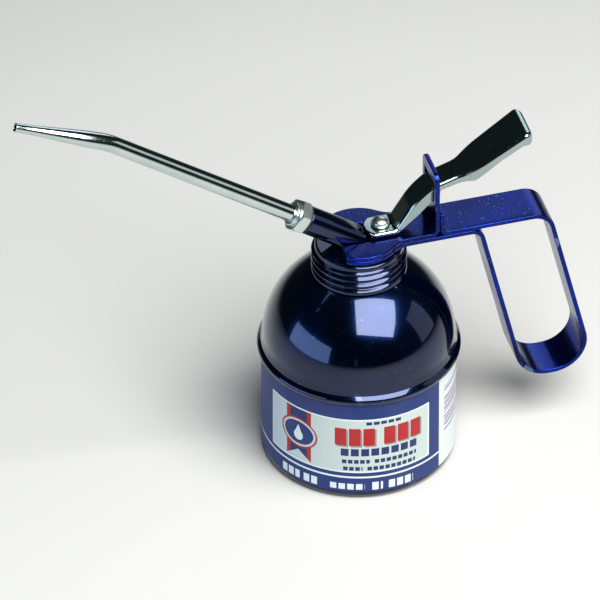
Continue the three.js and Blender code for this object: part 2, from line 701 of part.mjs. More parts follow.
function spoutNut() {
  const stubStart = nutStart - nut.stub;
  const seat = nutStart + 1; // floor of the hole that the tube is brazed into
  return alongSpout(toGeometry(cut(
    join(
      toSolid(disc(hexRadius(nut.flats), nutStart, nutEnd, 6)),
      toSolid(disc(nut.collarRadius, nutEnd - 1, nutEnd + nut.collar, smallSegments)),
      toSolid(disc(socketBore - gap, stubStart, seat, smallSegments)),
    ),
    toSolid(disc(spout.radius - spout.wall, stubStart - through, nutEnd, smallSegments)),
    toSolid(disc(spout.radius + 0.1, seat, nutEnd + through, smallSegments)),
  )));
}
piece('spout_nut', spoutNut(), zinc());

// Straight tube, one bend towards the horizontal, then a taper to the tip.
function spoutTube() {
  const start = nutStart + 1.2; // just above the floor of the nut's hole
  const stations = [];
  const place = (point, radius, wall) => stations.push({ point, radius, bore: radius - wall });
  const atLength = (length) => new THREE.Vector3(0, 0, spoutHeight).addScaledVector(spoutAxis, length);
  const bendStart = spout.straight - spout.bendRadius * Math.tan(spout.bendAngle / 2 * degrees);
  place(atLength(start), spout.radius, spout.wall);
  place(atLength(bendStart), spout.radius, spout.wall);
  // towards the bend's centre, below the tube
  const inward = new THREE.Vector3(-spoutAxis.z, 0, spoutAxis.x);
  const centre = atLength(bendStart).addScaledVector(inward, spout.bendRadius);
  const bendSteps = 4;
  for (let i = 1; i <= bendSteps; i += 1) {
    const turn = spout.bendAngle * degrees * i / bendSteps;
    place(centre.clone().addScaledVector(inward, -spout.bendRadius * Math.cos(turn))
      .addScaledVector(spoutAxis, spout.bendRadius * Math.sin(turn)), spout.radius, spout.wall);
  }
  const angle = (spoutAngle - spout.bendAngle) * degrees;
  const ahead = new THREE.Vector3(-Math.cos(angle), 0, Math.sin(angle));
  const bendEnd = stations[stations.length - 1].point;
  const taperSteps = 3;
  for (let i = 1; i <= taperSteps; i += 1) {
    const share = i / taperSteps;
    const radius = spout.radius + (spout.tipRadius - spout.radius) * share;
    const wall = spout.wall + (spout.tipWall - spout.wall) * share;
    place(bendEnd.clone().addScaledVector(ahead, spout.taper * share), radius, wall);
  }
  return tubeAlong(stations);
}
piece('spout_tube', spoutTube(), chrome());

// ---- thumb lever ----
const lugFront = pumpX - lever.lugHalf;
const lugBottom = lugTop - lever.sheet;
const padEnd = new THREE.Vector2(pivot.x + lever.padLength, pivot.y + lever.padRise);
const fromPivot = (x, z, ...rest) => [pivot.x + x, pivot.y + z, ...rest];

// Upper edge seen from the side, from the lug to the end of the pad: [x, z, corner radius].
const leverTop = [
  [lugFront, lugTop],
  [pumpX + 5.4, lugTop, 2.2],
  fromPivot(-8.5, 1.2, 30),
  fromPivot(-1.4, 7.6, 17),
  fromPivot(12, 11.9, 8),
  [padEnd.x, padEnd.y, lever.padEndBend],
  [padEnd.x, padEnd.y - lever.padRim],
];

// Lower edge of the side walls, from the end of the pad back to the lug.
const leverBottom = [
  fromPivot(36.4, 23.5),
  fromPivot(27, 17.2),
  fromPivot(16.4, 8.7),
  fromPivot(13.4, 8.5),
  fromPivot(2.4, 5.4),
  fromPivot(1.3, lever.sill),
  fromPivot(-1.4, lever.sill),
  fromPivot(-7.4, -5.5),
  [pumpX + 9.3, lugTop + 1.4],
  [pumpX + 6.6, lugBottom],
  [lugFront, lugBottom],
];

// Outline seen from above; inset makes the outline of the hollow underneath.
function leverPlan(inset) {
  const lugHalf = lever.lugHalf - inset;
  const half = lever.halfWidth - inset;
  const padStart = lever.padStart - inset;
  const padHalf = lever.padHalf - inset;
  const corner = lever.padCorner - inset;
  const front = lugFront + inset;
  const end = padEnd.x - inset;
  const neckX = pivot.x + 8.5;
  const padX = pivot.x + 21;
  const side = [
    [front, 0.45 * lugHalf],
    [front + 2.6, lugHalf],
    [pumpX + 4.5, lugHalf],
    [pumpX + 6.5, half],
    [neckX, half],
  ];
  const shape = new THREE.Shape(side.map(([x, y]) => new THREE.Vector2(x, -y)));
  shape.bezierCurveTo(neckX + 4, -half, padX - 6, -padStart + 0.5, padX, -padStart);
  shape.absarc(end - corner, -padHalf + corner, corner, -0.5 * Math.PI, 0, false);
  shape.absarc(end - corner, padHalf - corner, corner, 0, 0.5 * Math.PI, false);
  shape.lineTo(padX, padStart);
  shape.bezierCurveTo(padX - 6, padStart - 0.5, neckX + 4, half, neckX, half);
  side.reverse().slice(1).forEach(([x, y]) => shape.lineTo(x, y));
  return shape;
}

// How far the lug slides along itself, past the rod, when the lever is pressed.
function lugSlide() {
  const turn = lever.range * degrees;
  const arm = new THREE.Vector2(pumpX - pivot.x, lugTop - lever.sheet / 2 - pivot.y);
  const forward = arm.x - (arm.x * Math.cos(turn) + arm.y * Math.sin(turn));
  return (forward + rod.shank) / Math.cos(turn) + lever.sheet / 2 * Math.tan(turn);
}

function thumbLever() {
  const topLine = rounded(leverTop, 4);
  const wide = 20;
  const low = lugBottom - 12;
  const high = padEnd.y + 12;
  const asPairs = (line) => line.map((point) => [point.x, point.y]);
  const under = asPairs(offset(topLine, -lever.sheet));
  const hollow = [...under, [padEnd.x - lever.sheet, low], [lugFront, low]];
  const outside = toSolid(sideExtrude([...asPairs(topLine), ...leverBottom], wide))
    .intersect(toSolid(planExtrude(leverPlan(0), low, high)));
  const inside = toSolid(sideExtrude(hollow, wide))
    .intersect(toSolid(planExtrude(leverPlan(lever.sheet), low - 1, high + 1)));
  const slotSide = rod.shank + gap;
  const slot = toSolid(block(pumpX - slotSide, pumpX + lugSlide() + gap, -slotSide, slotSide,
    low, lugTop + 1));
  return toGeometry(cut(outside, inside, slot));
}
piece('thumb_lever', thumbLever(), chrome());

export default root;
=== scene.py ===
import json
import math
import bpy
import bmesh
from mathutils import Matrix, Vector
from mathutils.geometry import interpolate_bezier


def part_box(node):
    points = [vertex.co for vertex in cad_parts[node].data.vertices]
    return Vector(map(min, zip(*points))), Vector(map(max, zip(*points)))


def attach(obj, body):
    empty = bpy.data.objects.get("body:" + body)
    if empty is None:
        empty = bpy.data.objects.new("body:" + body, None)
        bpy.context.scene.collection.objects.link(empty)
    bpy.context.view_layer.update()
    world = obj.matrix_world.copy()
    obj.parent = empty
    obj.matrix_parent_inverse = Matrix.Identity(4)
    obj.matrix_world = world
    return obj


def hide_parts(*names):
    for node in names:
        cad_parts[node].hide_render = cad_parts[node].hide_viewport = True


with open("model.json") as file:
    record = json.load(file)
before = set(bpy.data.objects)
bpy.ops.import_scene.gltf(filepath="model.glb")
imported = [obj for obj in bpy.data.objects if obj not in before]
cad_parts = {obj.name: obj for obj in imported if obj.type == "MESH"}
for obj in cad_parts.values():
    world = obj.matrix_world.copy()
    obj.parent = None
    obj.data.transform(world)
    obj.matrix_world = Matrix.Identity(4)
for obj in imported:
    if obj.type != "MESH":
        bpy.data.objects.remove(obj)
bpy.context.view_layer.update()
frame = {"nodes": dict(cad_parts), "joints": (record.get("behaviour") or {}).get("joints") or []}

mm = 0.001
print("frame loaded:", len(frame["nodes"]), "nodes")


# arithmetic on shader sockets
class Signal:
    # one output of a node; arithmetic on it adds Math nodes
    def __init__(self, board, socket):
        self.board = board
        self.socket = socket

    def maths(self, operation, *values):
        return self.board.node("ShaderNodeMath", {"operation": operation}, list(values))

    def __add__(self, other):
        return self.maths("ADD", self, other)

    def __sub__(self, other):
        return self.maths("SUBTRACT", self, other)

    def __rsub__(self, other):
        return self.maths("SUBTRACT", other, self)

    def __mul__(self, other):
        return self.maths("MULTIPLY", self, other)

    def __gt__(self, other):
        return self.maths("GREATER_THAN", self, other)

    def __lt__(self, other):
        return self.maths("LESS_THAN", self, other)

    __radd__ = __add__
    __rmul__ = __mul__

    def size(self):
        return self.maths("ABSOLUTE", self)

    def larger(self, other):
        return self.maths("MAXIMUM", self, other)

    def power(self, exponent):
        return self.maths("POWER", self, exponent)

    def wrapped(self, step):
        return self.maths("WRAP", self, step, 0.0)


class Board:
    # the nodes of one material
    def __init__(self, name):
        self.material = bpy.data.materials.new(name)
        self.material.use_nodes = True
        self.tree = self.material.node_tree
        self.shader = self.tree.nodes["Principled BSDF"]

    def node(self, kind, settings=None, inputs=None, output=0):
        made = self.tree.nodes.new(kind)
        for key, value in (settings or {}).items():
            if key == "stops":
                self.setStops(made, value)
            else:
                setattr(made, key, value)
        pairs = enumerate(inputs) if isinstance(inputs, list) else (inputs or {}).items()
        for key, value in pairs:
            self.feed(made.inputs[key], value)
        return Signal(self, made.outputs[output])

    def feed(self, socket, value):
        if isinstance(value, Signal):
            self.tree.links.new(value.socket, socket)
        else:
            socket.default_value = value

    def setStops(self, ramp, stops):
        elements = ramp.color_ramp.elements
        while len(elements) < len(stops):
            elements.new(0.5)
        for element, (place, level) in zip(elements, stops):
            element.position = place
            element.color = (*level, 1) if isinstance(level, tuple) else (level, level, level, 1)

    def place(self):
        return self.node("ShaderNodeTexCoord", output="Object")

    def axes(self, vector):
        split = self.tree.nodes.new("ShaderNodeSeparateXYZ")
        self.feed(split.inputs[0], vector)
        return [Signal(self, split.outputs[i]) for i in range(3)]

    def noise(self, scale, detail=4.0, rough=0.55, vector=None, stretch=None):
        where = vector or self.place()
        if stretch:
            where = self.node("ShaderNodeVectorMath", {"operation": "MULTIPLY"}, [where, stretch])
        return self.node("ShaderNodeTexNoise", {}, {"Vector": where, "Scale": scale, "Detail": detail,
                                                    "Roughness": rough})

    def ramp(self, value, *stops):
        return self.node("ShaderNodeValToRGB", {"stops": stops}, [value])

    def blend(self, share, first, second):
        pick = self.tree.nodes.new("ShaderNodeMix")
        pick.data_type = "RGBA"
        self.feed(pick.inputs[0], share)
        self.feed(pick.inputs[6], self.colour(first))
        self.feed(pick.inputs[7], self.colour(second))
        return Signal(self, pick.outputs[2])

    def colour(self, value):
        return (*value, 1) if isinstance(value, tuple) and len(value) == 3 else value

    def bump(self, height, strength, distance):
        return self.node("ShaderNodeBump", {}, {"Strength": strength, "Distance": distance, "Height": height})

    def finish(self, **sockets):
        for key, value in sockets.items():
            self.feed(self.shader.inputs[key.replace("_", " ")], self.colour(value))
        return self.material


paintLooks = {
    "can": {"deep": (0.001, 0.006, 0.028), "lit": (0.002, 0.012, 0.060), "metal": 0.94, "rough": 0.16,
            "coat": 0.80, "chips": 0.735, "scratch": 0.10},
    # the strap look is the can's enamel made brighter: its stronger blue is a painted sheen, for the light
    # that the strap tops catch
    "strap": {"deep": (0.001, 0.008, 0.075), "lit": (0.003, 0.021, 0.280), "metal": 0.97, "rough": 0.25,
              "coat": 0.12, "chips": 0.690, "scratch": 0.40},
}


def makeBluePaint(name, look):
    # stoved enamel: deep blue under a clear gloss, with orange peel, dull scuffs, pin chips and scratches
    board = Board(name)
    cloud = board.ramp(board.noise(38.0, 3.0), (0.34, 0.0), (0.66, 1.0))
    peel = board.noise(900.0, 2.0, 0.5)
    scuff = board.ramp(board.noise(170.0, 6.0, 0.7), (0.60, 0.0), (0.74, 1.0))
    chips = board.ramp(board.noise(1150.0, 2.0, 0.5), (look["chips"], 0.0), (look["chips"] + 0.025, 1.0))
    lines = board.noise(120.0, 1.0, 0.4, stretch=(1.0, 0.07, 0.5))
    scratch = board.ramp(lines, (0.705, 0.0), (0.725, 1.0)) * look["scratch"]
    colour = board.blend(cloud, look["deep"], look["lit"])
    colour = board.blend(scuff * 0.10, colour, (0.03, 0.07, 0.20))
    colour = board.blend((chips * 0.7).larger(scratch), colour, (0.25, 0.34, 0.58))
    rough = cloud * 0.08 + scuff * 0.10 + scratch * 0.2 + (look["rough"] - 0.04)
    skin = board.bump(peel + scuff * 0.3, 0.04, 0.0003)
    return board.finish(Base_Color=colour, Roughness=rough, Metallic=look["metal"], Coat_Weight=look["coat"],
                        Coat_Roughness=0.03, Coat_IOR=1.46, Normal=skin)


chromeLooks = {
    "spout": {"dull": (0.36, 0.44, 0.43), "clean": (0.62, 0.69, 0.68), "speck": (0.16, 0.20, 0.20)},
    # the lever look is a darker copy of the chrome: its dull and clean tones are painted shade, for the dark
    # surroundings that the lever mirrors
    "lever": {"dull": (0.24, 0.31, 0.31), "clean": (0.40, 0.47, 0.46), "speck": (0.70, 0.80, 0.80)},
}


def makeChrome(name, look):
    board = Board(name)
    smear = board.noise(60.0, 4.0)
    grain = board.noise(420.0, 5.0, 0.65, stretch=(1.0, 6.0, 1.0))
    speck = board.ramp(board.noise(1500.0, 3.0, 0.6), (0.66, 0.0), (0.72, 1.0))
    colour = board.blend(smear, look["dull"], look["clean"])
    colour = board.blend(speck * 0.5, colour, look["speck"])
    rough = smear * 0.07 + grain * 0.06 + speck * 0.25 + 0.04
    return board.finish(Base_Color=colour, Roughness=rough, Metallic=1.0,
                        Normal=board.bump(grain + speck * 0.4, 0.05, 0.0002))


def makeZinc():
    board = Board("zincPlate")
    cloud = board.noise(240.0, 5.0, 0.6)
    grain = board.noise(1400.0, 3.0, 0.6)
    colour = board.blend(cloud, (0.46, 0.52, 0.48), (0.66, 0.71, 0.67))
    return board.finish(Base_Color=colour, Roughness=cloud * 0.16 + 0.24, Metallic=1.0,
                        Normal=board.bump(grain, 0.12, 0.0002))


def makeTurned(name, dark, light, roughness):
    # turned metal: fine rings along the lathe axis
    board = Board(name)
    across, along, up = board.axes(board.place())
    rings = board.noise(1.0, 2.0, 0.5, vector=board.node("ShaderNodeCombineXYZ", {}, [0.0, 0.0, up * 5200.0]))
    cloud = board.noise(190.0, 4.0)
    colour = board.blend(cloud, dark, light)
    return board.finish(Base_Color=colour, Roughness=cloud * 0.12 + roughness, Metallic=1.0,
                        Normal=board.bump(rings, 0.18, 0.0002))


def makeSoft(name, dark, light, roughness, scale):
    # rubber and fibre: matt, with a fine tooth
    board = Board(name)
    cloud = board.noise(scale, 4.0)
    tooth = board.noise(scale * 9, 3.0, 0.7)
    return board.finish(Base_Color=board.blend(cloud, dark, light), Roughness=cloud * 0.15 + roughness,
                        Normal=board.bump(tooth, 0.25, 0.0003))


finishes = {
    "paint": makeBluePaint("canEnamel", paintLooks["can"]),
    "sheenStrapPaint": makeBluePaint("sheenStrapEnamel", paintLooks["strap"]),
    "spoutChrome": makeChrome("spoutChrome", chromeLooks["spout"]),
    "shadedLeverChrome": makeChrome("shadedLeverChrome", chromeLooks["lever"]),
    "zinc": makeZinc(),
    "brass": makeTurned("turnedBrass", (0.48, 0.33, 0.11), (0.68, 0.50, 0.22), 0.22),
    "steel": makeTurned("brightSteel", (0.42, 0.42, 0.43), (0.62, 0.62, 0.63), 0.24),
    "rubber": makeSoft("blackRubber", (0.012, 0.012, 0.012), (0.030, 0.030, 0.030), 0.68, 260.0),
    "fibre": makeSoft("darkFibre", (0.020, 0.017, 0.016), (0.045, 0.038, 0.034), 0.75, 420.0),
}
print("finishes made:", ", ".join(finishes))


def arcPoints(centre, radius, start, end, steps):
    # points of an arc in a plane, angles in degrees
    points = []
    for i in range(steps + 1):
        angle = math.radians(start + (end - start) * i / steps)
        points.append((centre[0] + radius * math.cos(angle), centre[1] + radius * math.sin(angle)))
    return points


def roundedLine(corners, steps=10):
    # an open line with rounded corners; each corner is (x, z, radius)
    line = [Vector(corners[0][:2])]
    for before, corner, after in zip(corners, corners[1:], corners[2:]):
        point = Vector(corner[:2])
        back = (Vector(before[:2]) - point).normalized()
        ahead = (Vector(after[:2]) - point).normalized()
        half = back.angle(ahead) / 2
        reach = corner[2] / math.tan(half)
        centre = point + (back + ahead).normalized() * (corner[2] / math.sin(half))
        start = point + back * reach - centre
        turn = start.angle_signed(point + ahead * reach - centre)
        for k in range(steps + 1):
            line.append(centre + Matrix.Rotation(-turn * k / steps, 2) @ start)
    line.append(Vector(corners[-1][:2]))
    return line


def distances(line):
    # running length along a line
    run = [0.0]
    for a, b in zip(line, line[1:]):
        run.append(run[-1] + (b - a).length)
    return run


def buildMesh(name, points, faces):
    mesh = bpy.data.meshes.new(name)
    mesh.from_pydata([tuple(p) for p in points], [], faces)
    piece = bpy.data.objects.new(name, mesh)
    bpy.context.scene.collection.objects.link(piece)
    tidyMesh(piece)
    return piece


def tidyMesh(piece, merge=1e-6):
    work = bmesh.new()
    work.from_mesh(piece.data)
    bmesh.ops.remove_doubles(work, verts=work.verts, dist=merge)
    bmesh.ops.dissolve_degenerate(work, edges=work.edges, dist=merge)
    bmesh.ops.recalc_face_normals(work, faces=work.faces)
    work.to_mesh(piece.data)
    work.free()


def settle(piece):
    # applies the piece's modifiers
    graph = bpy.context.evaluated_depsgraph_get()
    mesh = bpy.data.meshes.new_from_object(piece.evaluated_get(graph))
    piece.modifiers.clear()
    piece.data = mesh
    return piece


def carve(piece, tool, operation="DIFFERENCE"):
    step = piece.modifiers.new("carve", "BOOLEAN")
    step.operation = operation
    step.object = tool
    step.solver = "EXACT"
    settle(piece)
    bpy.data.objects.remove(tool)
    return piece


def softenEdges(piece, width, segments=3, angle=35):
    bevel = piece.modifiers.new("edges", "BEVEL")
    bevel.width = width
    bevel.segments = segments
    bevel.limit_method = "ANGLE"
    bevel.angle_limit = math.radians(angle)
    bevel.use_clamp_overlap = True
    return settle(piece)


def smooth(piece, angle=35):
    work = bmesh.new()
    work.from_mesh(piece.data)
    for face in work.faces:
        face.smooth = True
    for edge in work.edges:
        edge.smooth = len(edge.link_faces) == 2 and edge.calc_face_angle(0) < math.radians(angle)
    work.to_mesh(piece.data)
    work.free()
    weigh = piece.modifiers.new("shade", "WEIGHTED_NORMAL")
    weigh.keep_sharp = True
    return piece


def finishPiece(piece, finish, body, slot, *nodes, angle=35):
    # the closing steps that every piece shares
    smooth(piece, angle)
    piece.data.materials.clear()
    piece.data.materials.append(finish)
    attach(piece, body)
    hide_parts(*nodes)
    print("piece:", piece.name, len(piece.data.polygons), "faces on", body)
    return piece


def spin(name, rows, segments=96, closed=True, centre=(0, 0)):
    # a turned body from rows of (radius or function of the angle, z); closed joins the last row to the first
    points = []
    for radius, z in rows:
        for j in range(segments):
            angle = 2 * math.pi * j / segments
            r = radius(angle) if callable(radius) else radius
            points.append((centre[0] + r * math.cos(angle), centre[1] + r * math.sin(angle), z))
    faces = []
    for i in range(len(rows) if closed else len(rows) - 1):
        low, high = i * segments, (i + 1) % len(rows) * segments
        for j in range(segments):
            k = (j + 1) % segments
            faces.append((low + j, low + k, high + k, high + j))
    return buildMesh(name, points, faces)


def bentSheet(name, loops, line, thickness, edge):
    # sheet metal: a flat pattern of closed loops in (s, y), bent along a line in (x, z), then thickened
    work = bmesh.new()
    edges = []
    for loop in loops:
        corners = [work.verts.new((s, y, 0)) for s, y in loop]
        edges += [work.edges.new((a, b)) for a, b in zip(corners, corners[1:] + corners[:1])]
    bmesh.ops.triangle_fill(work, use_beauty=True, use_dissolve=False, edges=edges)
    run = distances(line)
    for s in run[1:-1]:
        bmesh.ops.bisect_plane(work, geom=work.verts[:] + work.edges[:] + work.faces[:], dist=1e-7,
                               plane_co=(s, 0, 0), plane_no=(1, 0, 0))
    for vert in work.verts:
        s, y = vert.co.x, vert.co.y
        i = max(k for k in range(len(run) - 1) if s >= run[k] - 1e-9 or k == 0)
        share = (s - run[i]) / (run[i + 1] - run[i])
        where = line[i].lerp(line[i + 1], share) if share <= 1 else line[i + 1]
        vert.co = (where.x, y, where.y)
    bmesh.ops.recalc_face_normals(work, faces=work.faces)
    mesh = bpy.data.meshes.new(name)
    work.to_mesh(mesh)
    work.free()
    piece = bpy.data.objects.new(name, mesh)
    bpy.context.scene.collection.objects.link(piece)
    thicken = piece.modifiers.new("sheet", "SOLIDIFY")
    thicken.thickness = thickness
    thicken.offset = 0
    thicken.use_even_offset = True
    settle(piece)
    return softenEdges(piece, edge, 3, 50)


def blockTool(low, high, turn=0.0, at=(0, 0, 0)):
    work = bmesh.new()
    bmesh.ops.create_cube(work, size=1)
    size = Vector(high) - Vector(low)
    bmesh.ops.scale(work, vec=size, verts=work.verts)
    bmesh.ops.translate(work, vec=(Vector(high) + Vector(low)) / 2, verts=work.verts)
    work.transform(Matrix.Translation(at) @ Matrix.Rotation(math.radians(turn), 4, "Y"))
    mesh = bpy.data.meshes.new("tool")
    work.to_mesh(mesh)
    work.free()
    tool = bpy.data.objects.new("tool", mesh)
    bpy.context.scene.collection.objects.link(tool)
    return tool


# places taken from the frame
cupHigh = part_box("base_cup")[1]
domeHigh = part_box("dome_shell")[1]
capLow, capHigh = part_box("screw_cap")
bracketLow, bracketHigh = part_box("head_bracket")
handleLow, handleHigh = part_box("handle_strip")
leverLow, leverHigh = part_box("thumb_lever")
rodLow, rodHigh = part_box("plunger_rod")
barrelLow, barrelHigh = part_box("pump_barrel")
joints = {joint["name"]: joint for joint in frame["joints"]}
canRadius = cupHigh.x
pumpX = (barrelLow.x + barrelHigh.x) / 2
seam = 0.2 * mm  # gap between parts that lie flat on each other
over = 1 * mm  # how far a tool reaches into what it joins


cup = {"sheet": 0.9 * mm, "edge": 3 * mm, "beadInner": 25 * mm, "beadOuter": 30 * mm, "beadDepth": 1.4 * mm,
       "ease": 0.5 * mm}
dome = {"seat": 53.3 * mm, "rise": 3.2 * mm, "flatten": 0.95, "fillet": 3.4 * mm, "sheet": 0.9 * mm,
        "lip": 1.9 * mm, "bead": 1.9 * mm, "beadHeight": 4.6 * mm, "skirt": 0.3 * mm, "shellOut": 0.1 * mm,
        "groove": [(0.75 * mm, 1.05), (0.25 * mm, 1.3), (0.30 * mm, 1.62)], "neckEdge": 0.6 * mm,
        "lipEdge": 0.45 * mm, "lipTurn": 0.4 * mm}
thread = {"pitch": 3.2 * mm, "depth": 0.75 * mm, "mean": 19 * mm, "sheet": 0.7 * mm, "clearance": 0.45 * mm}


def makeCup():
    outer, sheet, edge = canRadius, cup["sheet"], cup["edge"]
    inner, rise, ease = outer - sheet, cup["beadDepth"], cup["ease"]
    # a stamped ring under the base: its foot and its crown, on the inner side and on the outer side
    footIn, crownIn = cup["beadInner"], cup["beadInner"] + rise
    footOut, crownOut = cup["beadOuter"], cup["beadOuter"] - rise
    under = [(0, 0), (footIn - ease, 0), (footIn + ease * 0.5, ease * 0.6), (crownIn, rise - ease * 0.3),
             (crownIn + ease, rise), (crownOut - ease, rise), (crownOut, rise - ease * 0.3),
             (footOut - ease * 0.5, ease * 0.6), (footOut + ease, 0)]
    rows = under + arcPoints((outer - edge, edge), edge, -90, 0, 10)
    rows += [(outer, cupHigh.z), (inner, cupHigh.z)]
    rows += arcPoints((outer - edge, edge), edge - sheet, 0, -90, 8)
    rows += [(footOut, sheet), (crownOut, rise + sheet), (crownIn, rise + sheet), (footIn, sheet), (0, sheet)]
    piece = spin("cup_shell", rows, 160, closed=False)
    return finishPiece(piece, finishes["paint"], "can", "blue_paint", "base_cup")


def threadRadius(mean, z, low, high, plain):
    # a right-hand rolled thread that fades into plain ends
    def radius(angle):
        share = max(0.0, min(1.0, min(z - low, high - z) / (thread["pitch"] / 2)))
        share = share * share * (3 - 2 * share)
        wave = mean + thread["depth"] * math.cos(2 * math.pi * z / thread["pitch"] - angle)
        return plain + (wave - plain) * share
    return radius


def steppedRows(low, high, step, make):
    count = round((high - low) / step)
    return [(make(low + (high - low) * i / count), low + (high - low) * i / count) for i in range(count + 1)]


def makeDome():
    core = thread["mean"] - thread["sheet"] - thread["clearance"]
    neck = core - thread["depth"]
    seat, sheet, fillet = dome["seat"], dome["sheet"], dome["fillet"]
    centre = seat + dome["rise"]
    radius = canRadius
    filletX = neck + fillet
    filletRise = math.sqrt((radius + fillet) ** 2 - filletX ** 2)
    meet = math.degrees(math.atan2(filletRise, filletX))

    def press(points):
        return [(r, centre + (z - centre) * dome["flatten"]) for r, z in points]

    top = domeHigh.z
    neckFoot = centre + filletRise * dome["flatten"]
    skirt = radius + dome["skirt"]
    bead = dome["bead"]
    beadZ = seat - dome["beadHeight"] / 2 + bead / 2
    rows = [(skirt, beadZ - bead)]
    rows += arcPoints((skirt, beadZ), bead, -70, 40, 12)
    # a groove runs round above the bead, then the shell starts
    rows += [(skirt + out, beadZ + bead * up) for out, up in dome["groove"]]
    rows += [(radius + dome["shellOut"], centre - dome["rise"] * 0.1)]
    rows += press(arcPoints((0, centre), radius, 3, meet, 40))
    rows += press(arcPoints((filletX, centre + filletRise), fillet, 180 + meet, 180, 12))
    low, high = neckFoot + dome["lipTurn"], top - sheet
    rows += steppedRows(low, high, thread["pitch"] / 14, lambda z: threadRadius(core, z, low, high, neck))
    bore, throat = neck - dome["lip"], neck - sheet
    neckEdge, lipEdge = dome["neckEdge"], dome["lipEdge"]
    rows += arcPoints((neck - neckEdge, top - neckEdge), neckEdge, 0, 90, 5)
    rows += arcPoints((bore + dome["lipTurn"], top - lipEdge), lipEdge, 90, 270, 6)
    rows += [(throat, top - 2 * sheet), (throat, neckFoot)]
    rows += press(arcPoints((0, centre), radius - sheet, meet + 2, 4, 24))
    rows += [(radius - sheet, seat), (skirt, seat)]
    piece = spin("dome_body", rows, 160)
    return finishPiece(piece, finishes["paint"], "can", "blue_paint", "dome_shell", angle=50)


cap = {"crown": 1.2 * mm, "edge": 1.0 * mm, "lead": 0.5 * mm, "shoulder": 0.6 * mm, "rim": 0.15 * mm,
       "middle": 1 * mm, "glandHole": 4.7 * mm, "footHole": (-6.0 * mm, 0.4 * mm, 4.4 * mm), "reach": 5 * mm}


def makeCap():
    # rolled helical ribs, a rounded crown, and openings for the gland and the spout's foot
    mean, depth, sheet = thread["mean"], thread["depth"], thread["sheet"]
    root, crest = mean - depth, mean + depth
    crown, edge, rim, reach = cap["crown"], cap["edge"], cap["rim"], cap["reach"]
    low, high = capLow.z + cap["lead"], capHigh.z - crown - cap["shoulder"]
    half = (low + high) / 2

    def outside(z):
        return threadRadius(mean, z, low, high, crest if z < half else root)

    def inside(z):
        wave = outside(z)
        return lambda angle: wave(angle) - sheet

    top = capHigh.z
    rows = [(crest - sheet * 0.5, capLow.z), (crest, capLow.z + rim)]
    rows += steppedRows(low, high, thread["pitch"] / 14, outside)
    rows += [(root, top - crown)] + arcPoints((root - edge, top - edge), edge, 0, 90, 8)
    rows += [(cap["middle"], top), (cap["middle"], top - crown), (root - sheet, top - crown)]
    rows += steppedRows(high, low, -thread["pitch"] / 10, inside)
    rows += [(crest - sheet, capLow.z + rim)]
    piece = spin("ribbed_cap", rows, 160)
    hole = cap["glandHole"]
    outline = [(0, top - reach), (hole, top - reach), (hole, top + reach), (0, top + reach)]
    carve(piece, spin("glandHole", outline, 48, False, (pumpX, 0)))
    rear, front, half = cap["footHole"]
    carve(piece, blockTool((rear, -half, top - reach), (front, half, top + reach)))
    return finishPiece(piece, finishes["paint"], "head", "blue_paint", "screw_cap", angle=50)


makeCup()
makeDome()
makeCap()
print("can made")

labelFacing = -106.5  # direction that the middle of the print faces, degrees from +X
inks = {
    "blue": (0.001, 0.018, 0.130),
    "navy": (0.001, 0.014, 0.100),
    "pale": (0.44, 0.50, 0.49),
    "white": (0.58, 0.65, 0.66),
    "red": (0.33, 0.004, 0.008),
    "sky": (0.40, 0.55, 0.75),
    "shade": (0.20, 0.22, 0.22),
    "violet": (0.20, 0.10, 0.28),
}
labelArt = {
    # each is left, right, bottom, top in millimetres along the wrap and up the can
    "panel": (-43.0, 32.0, 14.0, 42.0),
    "lowerRule": (-200.0, 38.5, 11.2, 12.1),
    "codePanel": (38.5, 74.0, 0.0, 60.0),
    "code": (42.5, 68.0, 17.0, 43.0),
    "title": [(-10.0, 6.6, 28.2, 37.2), (10.4, 27.4, 28.2, 37.2)],
    "subtitle": (-7.5, 25.5, 22.8, 26.6),
    "smallLines": [(-7.0, 4.5, 18.9, 20.9), (6.5, 25.0, 18.9, 20.9), (-6.5, 1.5, 15.2, 17.2),
                   (3.5, 24.5, 15.2, 17.2)],
    "topLine": (3.0, 18.0, 39.0, 40.6),
    "bandWords": [(-35.5, -26.0, 4.9, 8.9), (-24.0, -17.5, 4.9, 8.9), (-12.0, 2.5, 5.2, 8.2),
                  (5.5, 10.0, 4.9, 8.9), (12.5, 23.5, 4.9, 8.9)],
    "stripes": (2.4, 0.9, -19.0),
    "ribbon": (-33.0, -20.5, 14.8, 41.2),
    "ribbonInner": (-31.0, -22.5, 14.8, 41.2),
    "badge": (-26.75, 28.8),
    "rings": [("red", 9.2, 7.6), ("pale", 8.4, 6.8), ("blue", 7.4, 5.8)],
    # pitch, gap and corner of the blocks in each row
    "type": {"title": (5.9, 1.1, 0.4), "subtitle": (4.2, 0.9, 0.2), "topLine": (3.1, 0.7, 0.1),
             "smallLines": (2.5, 0.6, 0.2), "bandWords": (3.6, 0.9, 0.3)},
}


